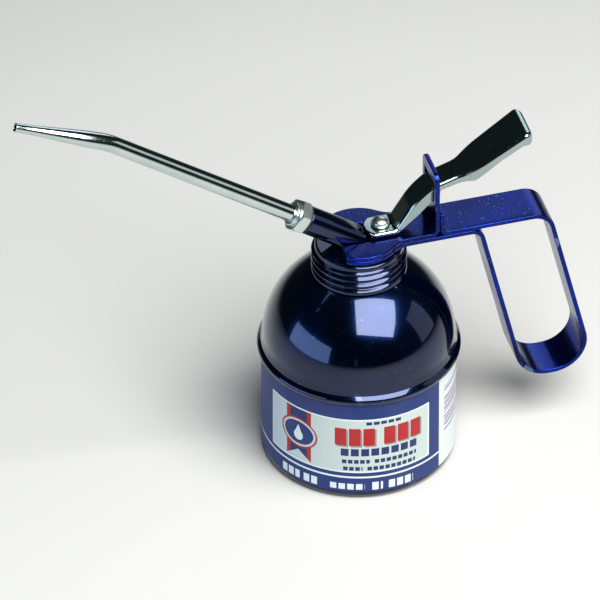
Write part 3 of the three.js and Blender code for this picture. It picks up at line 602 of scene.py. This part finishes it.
def makeLabelInk():
    board = Board("labelPrint")
    east, north, up = board.axes(board.place())
    facing = math.radians(labelFacing)
    toward = east * math.cos(facing) + north * math.sin(facing)
    aside = east * -math.sin(facing) + north * math.cos(facing)
    wrap = board.node("ShaderNodeMath", {"operation": "ARCTAN2"}, [aside, toward]) * (canRadius / mm)
    rise = up * (1 / mm)

    def bar(left, right, bottom, top, corner=0.0):
        # 1 inside a rounded rectangle
        dx = ((wrap - (left + right) / 2).size() - ((right - left) / 2 - corner)).larger(0.0)
        dz = ((rise - (bottom + top) / 2).size() - ((top - bottom) / 2 - corner)).larger(0.0)
        return (dx * dx + dz * dz).power(0.5) < max(corner, 0.02)

    def spot(x, z, rx, rz):
        # 1 inside an ellipse
        dx, dz = (wrap - x) * (1 / rx), (rise - z) * (1 / rz)
        return (dx * dx + dz * dz) < 1.0

    def words(area, pitch, gap, corner):
        # a row of plain blocks in the place of lettering
        left, right, bottom, top = area
        step = (wrap - left).wrapped(pitch)
        block = (step < pitch - gap) * bar(left, right, bottom, top, corner)
        return block

    art = labelArt
    colour = board.blend(bar(*art["panel"], 0.6), inks["blue"], inks["white"])
    left, right, bottom, top = art["panel"]
    inner = bar(left + 0.8, right - 0.8, bottom + 0.8, top - 0.8, 0.3)
    colour = board.blend(inner, colour, inks["pale"])
    pitch, width, end = art["stripes"]
    stripes = (rise.wrapped(pitch) < width) * bar(left + 0.8, end, bottom + 0.8, top - 0.8)
    colour = board.blend(stripes * 0.5, colour, inks["sky"])
    # a ribbon with a round badge on it, and a plain drop in the badge
    middle, height = art["badge"]
    aside = (wrap - middle).size()
    ribbon = bar(*art["ribbon"])
    notch = (rise < 20.0 - aside * 0.75) * ribbon
    colour = board.blend(ribbon - notch, colour, inks["red"])
    colour = board.blend(bar(*art["ribbonInner"]) - notch, colour, inks["navy"])
    for ink, across, tall in art["rings"]:
        colour = board.blend(spot(middle, height, across, tall), colour, inks[ink])
    drop = spot(middle, 27.4, 2.3, 2.5).larger((aside < (33.0 - rise) * 0.42) * (rise > 28.0))
    colour = board.blend(drop, colour, inks["white"])
    # the title is a row of plain blocks with a drop shadow
    rows = art["type"]
    for left, right, bottom, top in art["title"]:
        shadow = words((left + 0.7, right + 0.7, bottom - 0.7, top - 0.7), *rows["title"])
        colour = board.blend(shadow, colour, inks["shade"])
    for area in art["title"]:
        colour = board.blend(words(area, *rows["title"]), colour, inks["red"])
    colour = board.blend(words(art["subtitle"], *rows["subtitle"]), colour, inks["navy"])
    colour = board.blend(words(art["topLine"], *rows["topLine"]), colour, inks["navy"])
    for area in art["smallLines"]:
        colour = board.blend(words(area, *rows["smallLines"]), colour, inks["navy"])
    colour = board.blend(bar(*art["lowerRule"]), colour, inks["white"])
    for area in art["bandWords"]:
        colour = board.blend(words(area, *rows["bandWords"]), colour, inks["white"])
    # the stripe panel at the side
    colour = board.blend(bar(*art["codePanel"]), colour, inks["white"])
    stripeSpace = board.node("ShaderNodeCombineXYZ", {}, [0.0, 0.0, rise * 1.15])
    widths = board.noise(1.0, 0.0, 0.5, vector=stripeSpace)
    colour = board.blend((widths > 0.5) * bar(*art["code"]), colour, inks["violet"])
    fibre = board.noise(1600.0, 3.0, 0.6)
    age = board.noise(70.0, 4.0)
    colour = board.blend(age * 0.07, colour, (0.55, 0.52, 0.44))
    return board.finish(Base_Color=colour, Roughness=age * 0.12 + 0.40, Specular_IOR_Level=0.12,
                        Coat_Weight=0.10, Coat_Roughness=0.10, Normal=board.bump(fibre, 0.05, 0.0002))


wrapped = {"gap": 0.1 * mm, "ease": 0.03 * mm, "lapTurn": 0.2, "lapSink": 0.0022}


def makeLabel():
    # one turn of paper that laps over itself at the back
    low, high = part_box("paper_label")
    inner, outer, ease = canRadius + wrapped["gap"], high.x, wrapped["ease"]
    rows = [(inner, low.z), (outer - ease, low.z), (outer, low.z + ease), (outer, high.z - ease),
            (outer - ease, high.z), (inner, high.z)]
    piece = spin("label_wrap", rows, 192)
    lap = math.radians(labelFacing + 180)
    # the paper sinks a hair just past the lap, so that its end stands proud, behind the can
    for vert in piece.data.vertices:
        angle = math.atan2(vert.co.y, vert.co.x) - lap
        angle = (angle + math.pi) % (2 * math.pi) - math.pi
        if 0 < angle < wrapped["lapTurn"] and math.hypot(vert.co.x, vert.co.y) > inner + ease:
            vert.co.x *= 1 - wrapped["lapSink"]
            vert.co.y *= 1 - wrapped["lapSink"]
    return finishPiece(piece, makeLabelInk(), "can", "label_paper", "paper_label")


makeLabel()
print("label made")

strap = {"thickness": 1.9 * mm, "half": 9.5 * mm, "forkRadius": 17 * mm, "slotHalf": 6.7 * mm, "eye": 5 * mm,
         "slotEnd": 2.5 * mm, "front": -9.5 * mm, "blend": 12 * mm, "edge": 0.35 * mm}
plate = {"bend": 2.6 * mm, "slotHalf": 6.6 * mm, "slotHeight": 10 * mm, "corner": 3.5 * mm}
grip = {"frontTop": 49.6 * mm, "opening": 29.4 * mm, "lean": 13.2, "frontBend": 5 * mm,
        "bottomBend": 13.6 * mm, "topBend": 8.6 * mm, "flangeBend": 2.2 * mm}
sill = joints["lever_press"]["pos_m"][2]


def forkLoops(rear, corner=0.0):
    # the flat fork in plan, open at the front round the spout's foot and with an eye round the pump rod
    half, radius, blend = strap["half"], strap["forkRadius"], strap["blend"]
    blendX = math.sqrt((radius + blend) ** 2 - (half + blend) ** 2)
    touch = math.degrees(math.atan2(half + blend, blendX))
    start = math.degrees(math.acos(strap["front"] / radius))
    side = arcPoints((0, 0), radius, start, touch, 24)
    side += arcPoints((blendX, half + blend), blend, touch - 180, -90, 12)[1:]
    side += arcPoints((rear - corner, half - corner), corner, 90, 0, 6) if corner else [(rear, half)]
    loop = side + [(x, -y) for x, y in reversed(side)]
    mouth = [(strap["front"], strap["slotHalf"]), (strap["slotEnd"], strap["slotHalf"])]
    eye = arcPoints((pumpX, 0), strap["eye"], -135, 135, 24)
    return loop + [(x, -y) for x, y in mouth] + eye + mouth[::-1]


def makeBracket():
    level = bracketLow.z + strap["thickness"] / 2
    plateX = bracketHigh.x - strap["thickness"] / 2
    start = strap["front"]
    line = roundedLine([(start, level), (plateX, level, plate["bend"]), (plateX, bracketHigh.z)], 10)
    run = distances(line)
    outline = [(x - start, y) for x, y in forkLoops(run[-1] + start, plate["corner"])]
    top = run[-1]
    low = top - (bracketHigh.z - sill)
    window = [(low, -plate["slotHalf"]), (low + plate["slotHeight"], -plate["slotHalf"]),
              (low + plate["slotHeight"], plate["slotHalf"]), (low, plate["slotHalf"])]
    piece = bentSheet("bracket_plate", [outline, window], line, strap["thickness"], strap["edge"])
    return finishPiece(piece, finishes["sheenStrapPaint"], "head", "blue_paint", "head_bracket")


def makeHandle():
    lowerZ = capHigh.z + seam + strap["thickness"] / 2
    upperZ = bracketLow.z + strap["thickness"] / 2
    bottomZ = handleLow.z + strap["thickness"] / 2
    lean = math.tan(math.radians(grip["lean"]))
    frontTop = grip["frontTop"]
    backTop = frontTop + grip["opening"]
    flangeX = bracketHigh.x + seam + strap["thickness"] / 2
    start = strap["front"]
    line = roundedLine([
        (start, lowerZ), (frontTop, lowerZ, grip["frontBend"]),
        (frontTop + (lowerZ - bottomZ) * lean, bottomZ, grip["bottomBend"]),
        (backTop + (upperZ - bottomZ) * lean, bottomZ, grip["bottomBend"]),
        (backTop, upperZ, grip["topBend"]), (flangeX, upperZ, grip["flangeBend"]), (flangeX, handleHigh.z),
    ], 14)
    run = distances(line)
    outline = [(x - start, y) for x, y in forkLoops(run[-1] + start)]
    piece = bentSheet("handle_loop", [outline], line, strap["thickness"], strap["edge"])
    return finishPiece(piece, finishes["sheenStrapPaint"], "head", "blue_paint", "handle_strip")


makeBracket()
makeHandle()
print("bracket and handle made")

spout = {"radius": 3.6 * mm, "wall": 0.7 * mm, "straight": 130.3 * mm, "bend": 12, "bendRadius": 34 * mm,
         "taper": 39.3 * mm, "tipRadius": 1.9 * mm, "tipWall": 0.5 * mm}
socket = {"radius": 6 * mm, "bore": 4.4 * mm, "length": 28.2 * mm, "facet": 41.9, "facetRise": 5.1 * mm,
          "rearWall": 1.5 * mm, "facetWall": 1.3 * mm, "foot": -20 * mm, "reach": 80 * mm, "lip": 0.5 * mm,
          "mouth": 5 * mm}
nut = {"flats": 12.7 * mm, "thickness": 4.4 * mm, "start": 29.4 * mm, "soften": 0.18 * mm, "brim": 0.1 * mm,
       "collarRadius": 5.1 * mm, "collar": 1.7 * mm, "collarStep": 0.3 * mm, "collarEdge": 0.55 * mm,
       "collarWaist": 0.25 * mm, "stub": 6.2 * mm, "stubRadius": 4.1 * mm, "stubEnd": 3.9 * mm,
       "stubTaper": 0.4 * mm, "throat": 2.9 * mm, "bore": 3.68 * mm, "below": 20 * mm, "above": 9 * mm}
spoutAxis = Vector(joints["spout_turn"]["axis"])
spoutFoot = Vector(joints["spout_turn"]["pos_m"])
tipOver = Vector((0, 0, 1)).rotation_difference(spoutAxis).to_matrix().to_4x4()
alongSpout = Matrix.Translation(spoutFoot) @ tipOver


def makeSocket():
    foot, far = socket["foot"], socket["reach"]
    deck = capHigh.z + seam
    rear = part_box("spout_socket")[1].x
    end, lipSize = socket["length"], socket["lip"]
    piece = spin("socket_tube", [(0, foot), (socket["radius"], foot)]
                 + arcPoints((socket["radius"] - lipSize, end - lipSize), lipSize, 0, 90, 5)
                 + [(0, end)], 72, False)
    hole, out = socket["bore"], end + socket["mouth"]
    bore = spin("boreTool", [(0, foot), (hole, foot), (hole, out), (0, out)], 72, False)
    for item in (piece, bore):
        item.data.transform(alongSpout)
    facetZ = capHigh.z + socket["facetRise"]
    carve(bore, blockTool((rear - socket["rearWall"], -far, -far), (far, far, 2 * far)))
    innerFacet = (rear, 0, facetZ - socket["facetWall"])
    carve(bore, blockTool((-far, -far, 0), (far, far, far), socket["facet"], innerFacet))
    carve(piece, bore)
    carve(piece, blockTool((-far, -far, deck - far), (far, far, deck)))
    carve(piece, blockTool((rear, -far, 0), (far, far, 2 * far)))
    carve(piece, blockTool((-far, -far, 0), (far, far, far), socket["facet"], (rear, 0, facetZ)))
    softenEdges(piece, lipSize, 3, 30)
    return finishPiece(piece, finishes["paint"], "head", "blue_paint", "spout_socket")


def makeNut():
    start = nut["start"]
    end = start + nut["thickness"]
    across = nut["flats"] / 2 / math.cos(math.radians(30))
    hexagon = spin("spout_hex", [(0, start), (across, start), (across, end), (0, end)], 6, False)
    # both faces of the hexagon are chamfered by a turned body
    cone = across - nut["flats"] / 2
    brim = across + nut["brim"]
    turned = [(0, start), (across - cone, start), (brim, start + cone * 0.6), (brim, end - cone * 0.6),
              (across - cone, end), (0, end)]
    carve(hexagon, spin("chamferTool", turned, 96, False), "INTERSECT")
    softenEdges(hexagon, nut["soften"], 2, 25)
    waist, edge = nut["collarRadius"] - nut["collarStep"], nut["collarEdge"]
    collar = [(0, end - over), (waist, end - over), (waist, end + nut["collarWaist"])]
    collar += arcPoints((nut["collarRadius"] - edge, end + nut["collar"] - edge), edge, -30, 90, 6)
    collar += [(0, end + nut["collar"])]
    carve(hexagon, spin("collarTool", collar, 72, False), "UNION")
    foot, radius = start - nut["stub"], nut["stubRadius"]
    stub = [(0, foot), (nut["stubEnd"], foot), (radius, foot + nut["stubTaper"]), (radius, start + over),
            (0, start + over)]
    carve(hexagon, spin("stubTool", stub, 72, False), "UNION")
    throat, bore, below, above = nut["throat"], nut["bore"], start - nut["below"], end + nut["above"]
    hole = [(0, below), (throat, below), (throat, start + over), (bore, start + over), (bore, above),
            (0, above)]
    carve(hexagon, spin("boreTool", hole, 72, False))
    hexagon.data.transform(alongSpout)
    return finishPiece(hexagon, finishes["zinc"], "spout", "zinc_plate", "spout_nut", angle=28)


def makeSpout():
    # straight tube, one bend, and a taper to a rolled tip
    start = nut["start"] + 1.2 * mm
    side = Vector((0, 1, 0))
    inward = Vector((-spoutAxis.z, 0, spoutAxis.x))
    bendStart = spout["straight"] - spout["bendRadius"] * math.tan(math.radians(spout["bend"] / 2))
    lengths = [start + (bendStart - start) * i / 8 for i in range(9)]
    stations = [(spoutFoot + spoutAxis * length, spout["radius"], spout["wall"]) for length in lengths]
    centre = spoutFoot + spoutAxis * bendStart + inward * spout["bendRadius"]
    for i in range(1, 13):
        turn = math.radians(spout["bend"] * i / 12)
        point = centre + spout["bendRadius"] * (spoutAxis * math.sin(turn) - inward * math.cos(turn))
        stations.append((point, spout["radius"], spout["wall"]))
    ahead = Matrix.Rotation(math.radians(-spout["bend"]), 3, "Y") @ spoutAxis
    bendEnd = stations[-1][0]
    for i in range(1, 17):
        share = i / 16
        ease = share * share * (3 - 2 * share)
        radius = spout["radius"] + (spout["tipRadius"] - spout["radius"]) * ease
        wall = spout["wall"] + (spout["tipWall"] - spout["wall"]) * share
        stations.append((bendEnd + ahead * spout["taper"] * share, radius, wall))
    segments = 48
    rings = []
    directions = []
    for i in range(len(stations)):
        before, after = stations[max(i - 1, 0)][0], stations[min(i + 1, len(stations) - 1)][0]
        directions.append((after - before).normalized())

    def ring(i, radius, shift=0.0):
        up = directions[i].cross(side)
        middle = stations[i][0] + directions[i] * shift
        turns = [2 * math.pi * j / segments for j in range(segments)]
        return [middle + side * radius * math.cos(turn) + up * radius * math.sin(turn) for turn in turns]

    last = len(stations) - 1
    for i, (point, radius, wall) in enumerate(stations[:-1]):
        rings.append(ring(i, radius))
    tip, wall = stations[last][1], stations[last][2]
    for angle in range(0, 181, 30):
        turn = math.radians(angle)
        rings.append(ring(last, tip - wall / 2 + wall / 2 * math.cos(turn), wall / 2 * (math.sin(turn) - 1)))
    for i in range(last - 1, -1, -1):
        rings.append(ring(i, stations[i][1] - stations[i][2]))
    points = [p for row in rings for p in row]
    faces = []
    for i in range(len(rings)):
        a, b = i * segments, (i + 1) % len(rings) * segments
        for j in range(segments):
            k = (j + 1) % segments
            faces.append((a + j, a + k, b + k, b + j))
    piece = buildMesh("rigid_spout", points, faces)
    return finishPiece(piece, finishes["spoutChrome"], "spout", "chrome", "spout_tube", angle=60)


makeSocket()
makeNut()
makeSpout()
print("spout made")

lever = {"sheet": 1.3 * mm, "half": 6 * mm, "lugHalf": 6.4 * mm, "padStart": 8.7 * mm, "padHalf": 9.8 * mm,
         "corner": 3.8 * mm, "padLength": 41.2, "padRise": 31.1, "padEndBend": 2.6, "rim": 7.4,
         "edge": 1.8 * mm, "lugRise": 2.6 * mm, "slotHalf": 1.7 * mm, "slotEnd": 4.7 * mm}
# the pad's numbers without mm are millimetres from the pivot, for fromPivot
pivot = Vector((joints["lever_press"]["pos_m"][0], joints["lever_press"]["pos_m"][2]))


def fromPivot(x, z, *radius):
    return (pivot.x + x * mm, pivot.y + z * mm, *[r * mm for r in radius])


def offsetLine(line, distance):
    # a line moved to the right of its direction
    moved = []
    for i, point in enumerate(line):
        before = (point - line[i - 1]).normalized() if i else (line[1] - point).normalized()
        after = (line[i + 1] - point).normalized() if i < len(line) - 1 else before
        normal = Vector((before.y + after.y, -before.x - after.x)).normalized()
        moved.append(point + normal * (distance / normal.dot(Vector((before.y, -before.x)))))
    return moved


def heightAt(line, x):
    # height of a line that runs steadily along X
    for a, b in zip(line, line[1:]):
        low, high = min(a[0], b[0]), max(a[0], b[0])
        if low - 1e-9 <= x <= high + 1e-9 and high - low > 1e-9:
            return a[1] + (b[1] - a[1]) * (x - a[0]) / (b[0] - a[0])
    return line[-1][1] if abs(x - line[-1][0]) < abs(x - line[0][0]) else line[0][1]


def leverPlan():
    # half width along X, from the lug to the corners of the pad
    lugHalf, half, padStart, padHalf = lever["lugHalf"], lever["half"], lever["padStart"], lever["padHalf"]
    front, end, corner = leverLow.x, leverHigh.x, lever["corner"]
    neckX, padX = pivot.x + 8.5 * mm, pivot.x + 21 * mm
    side = [(front, 0.45 * lugHalf), (front + 0.9 * mm, 0.72 * lugHalf), (front + 2.6 * mm, lugHalf),
            (pumpX + 4.5 * mm, lugHalf), (pumpX + 6.5 * mm, half), (neckX, half)]
    # the neck widens into the pad, which flares a little towards its end
    widen = [(neckX, half), (neckX + 4 * mm, half), (padX - 6 * mm, padStart - 0.5 * mm), (padX, padStart)]
    curve = interpolate_bezier(*[Vector(point) for point in widen], 14)
    side += [tuple(point) for point in curve[1:]]
    return side + arcPoints((end - corner, padHalf - corner), corner, 90, 0, 12)


def channel(name, places, top, low, plan, inset, edge):
    # a solid with rolled upper edges: one section across Y at each place along X
    sections = []
    for x in places:
        high, floor, half = heightAt(top, x), heightAt(low, x), heightAt(plan, x) - inset
        roll = max(min(edge, (high - floor) * 0.9, half * 0.8), 0.05 * mm)
        corner = arcPoints((half - roll, high - roll), roll, 90, 0, 8)
        side = corner + [(half, min(floor, high - roll))]
        sections.append([(x, -y, z) for y, z in reversed(side)] + [(x, y, z) for y, z in side])
    count = len(sections[0])
    faces = [tuple(range(count)), tuple(reversed(range((len(sections) - 1) * count, len(sections) * count)))]
    for i in range(len(sections) - 1):
        for j in range(count):
            k = (j + 1) % count
            faces.append((i * count + j, (i + 1) * count + j, (i + 1) * count + k, i * count + k))
    return buildMesh(name, [point for section in sections for point in section], faces)


def leverPlaces(start, end, *lines):
    # places along X: every corner of the lines, and points between so that no step is long
    inside = {round(point[0], 7) for line in lines for point in line if start < point[0] < end}
    marks = sorted(inside | {start, end})
    places = [marks[0]]
    for mark in marks[1:]:
        if mark - places[-1] < 0.04 * mm and mark != end:
            continue
        steps = max(1, math.ceil((mark - places[-1]) / (0.8 * mm)))
        last = places[-1]
        places += [last + (mark - last) * k / steps for k in range(1, steps + 1)]
    return places


def makeLever():
    # pressed sheet: an outer channel less an inner one, one sheet inside it
    lugTop = leverTopOfLug()
    lugBottom = lugTop - lever["sheet"]
    start, end, sheet = leverLow.x, leverHigh.x, lever["sheet"]
    length, rise, rim = lever["padLength"], lever["padRise"], lever["rim"]
    topLine = roundedLine([
        (start, lugTop), (pumpX + 5.4 * mm, lugTop, 2.2 * mm), fromPivot(-8.5, 1.2, 30),
        fromPivot(-1.4, 7.6, 17), fromPivot(12, 11.9, 8), fromPivot(length, rise, lever["padEndBend"]),
        fromPivot(length, rise - rim),
    ], 12)[:-1]
    # the lower edges of the side walls, which rest on the sill of the plate's slot
    under = [
        (start, lugBottom), (pumpX + 6.6 * mm, lugBottom), (pumpX + 9.3 * mm, lugTop + 1.4 * mm),
        fromPivot(-7.4, -5.5), fromPivot(-1.4, 0.7), fromPivot(1.3, 0.7), fromPivot(2.4, 5.4),
        fromPivot(13.4, 8.5), fromPivot(16.4, 8.7), fromPivot(27, 17.2), fromPivot(36.4, 23.5),
        (end, pivot.y + (rise - rim) * mm),
    ]
    plan = leverPlan()
    inner = offsetLine(topLine, sheet)
    places = leverPlaces(start, end, topLine, under, plan)
    piece = channel("lever_body", places, topLine, under, plan, 0, lever["edge"])
    places = leverPlaces(pumpX + 7.2 * mm, end - sheet, inner, plan)
    deep = [(start, lugBottom - 20 * mm), (end, lugBottom - 20 * mm)]
    carve(piece, channel("hollowTool", places, inner, deep, plan, sheet, lever["edge"] - sheet))
    slot = lever["slotHalf"]
    low, high = (pumpX - slot, -slot, lugBottom - 3 * mm), (pumpX + lever["slotEnd"], slot, lugTop + 1 * mm)
    carve(piece, blockTool(low, high))
    return finishPiece(piece, finishes["shadedLeverChrome"], "lever", "chrome", "thumb_lever", angle=32)


def leverTopOfLug():
    return bracketLow.z + strap["thickness"] + lever["lugRise"]


rod = {"shank": 1.4 * mm, "stem": 1.6 * mm, "shoulder": 8.1 * mm, "taper": 0.5 * mm, "drop": 1.2 * mm,
       "play": 0.3 * mm, "rim": 3.9 * mm, "rimHeight": 0.95 * mm, "ease": 0.25 * mm}


def makeRod():
    # the thin shank through the lug carries a domed rivet head
    under = leverTopOfLug() + rod["play"]
    neck = leverTopOfLug() - lever["sheet"] - rod["drop"]
    shank, stem, rim, ease = rod["shank"], rod["stem"], rod["rim"], rod["ease"]
    foot, shoulder, crown = rodLow.z, rodLow.z + rod["shoulder"], under + rod["rimHeight"]
    rows = [(0, foot), (shank - ease, foot), (shank, foot + ease), (shank, shoulder), (stem, shoulder),
            (stem, neck - rod["taper"]), (shank, neck), (shank, under), (rim - ease, under),
            (rim, under + ease), (rim, crown - ease), (rim - ease, crown)]
    for i in range(13):
        turn = math.radians(90 * i / 12)
        rows.append(((rim - 2 * ease) * math.cos(turn), crown + (rodHigh.z - crown) * math.sin(turn)))
    piece = spin("plunger_stem", rows, 64, False, (pumpX, 0))
    return finishPiece(piece, finishes["zinc"], "plunger", "zinc_plate", "plunger_rod", angle=40)


makeLever()
makeRod()
print("lever and rod made")

# the pump parts keep their own shapes
pumpFinishes = {
    "brass": ["pump_head", "pump_barrel", "gland_nut", "spring_collar", "piston", "piston_valve_disc",
              "foot_valve", "ball_stop", "inlet_strainer"],
    "steel": ["return_spring", "inlet_ball"],
    "rubber": ["cap_gasket", "rod_packing", "piston_seal"],
    "fibre": ["spout_washer"],
}
for finish, names in pumpFinishes.items():
    for name in names:
        part = frame["nodes"][name]
        part.data.materials.clear()
        part.data.materials.append(finishes[finish])
print("pump parts finished")

studio = {"azimuth": -16.5, "elevation": 38.4, "distance": 10.0, "lens": 1458, "aim": (-0.0253, 0.0, 0.0788),
          "lightAim": (0, 0, 0.085), "floorHalf": 6, "world": (0.014, 0.022, 0.024, 1)}


def makeFloor():
    # a painted pool of light: pale under the can, falling away to grey
    board = Board("studioFloor")
    east, north, up = board.axes(board.place())
    reach = (east * east + north * north).power(0.5) + board.noise(3.0) * 0.04
    paintedLightPool = board.ramp(reach, (0.28, (0.50, 0.50, 0.495)), (0.90, (0.24, 0.24, 0.24)))
    board.finish(Base_Color=paintedLightPool, Roughness=board.noise(40.0) * 0.1 + 0.75)
    half = studio["floorHalf"]
    corners = [(-half, -half, 0), (half, -half, 0), (half, half, 0), (-half, half, 0)]
    floor = buildMesh("studio_floor", corners, [(0, 1, 2, 3)])
    floor.data.materials.append(board.material)


def makeLight(name, place, size, watts, twist, tint):
    data = bpy.data.lights.new(name, "AREA")
    data.shape = "RECTANGLE"
    data.size, data.size_y = size
    data.energy = watts
    data.color = tint
    light = bpy.data.objects.new(name, data)
    light.location = place
    aim = (Vector(studio["lightAim"]) - Vector(place)).to_track_quat("-Z", "Y").to_matrix()
    light.rotation_euler = (aim @ Matrix.Rotation(math.radians(twist), 3, "Z")).to_euler()
    bpy.context.scene.collection.objects.link(light)


def makeCamera():
    turn, tilt = math.radians(studio["azimuth"]), math.radians(studio["elevation"])
    away = Vector((math.sin(turn) * math.cos(tilt), -math.cos(turn) * math.cos(tilt), math.sin(tilt)))
    camera = bpy.data.objects.new("camera", bpy.data.cameras.new("camera"))
    camera.location = Vector(studio["aim"]) + away * studio["distance"]
    camera.rotation_euler = (-away).to_track_quat("-Z", "Y").to_euler()
    camera.data.lens = studio["lens"]
    camera.data.sensor_width = 36
    camera.data.clip_start = 0.01
    bpy.context.scene.collection.objects.link(camera)
    bpy.context.scene.camera = camera


lights = {
    # place, size, watts, twist in degrees, tint
    "key": ((0.230, -0.632, 1.095), (1.03, 1.03), 41, -28.5, (1.0, 0.99, 0.95)),
    "leftCard": ((-1.25, -0.28, 0.22), (1.30, 0.60), 8, 0, (0.52, 0.74, 1.0)),
    "backCard": ((0.55, 1.00, 0.68), (0.60, 0.60), 2.0, 0, (0.80, 0.92, 1.0)),
    "rightCard": ((1.20, -0.35, 0.45), (0.60, 0.80), 1.2, 0, (0.95, 1.0, 1.0)),
}
makeFloor()
for name, settings in lights.items():
    makeLight(name, *settings)
makeCamera()
world = bpy.data.worlds.new("studio")
bpy.context.scene.world = world
world.use_nodes = True
background = world.node_tree.nodes["Background"]
background.inputs[0].default_value = studio["world"]
background.inputs[1].default_value = 1.0
bpy.context.scene.view_settings.view_transform = "Standard"
print("studio made")
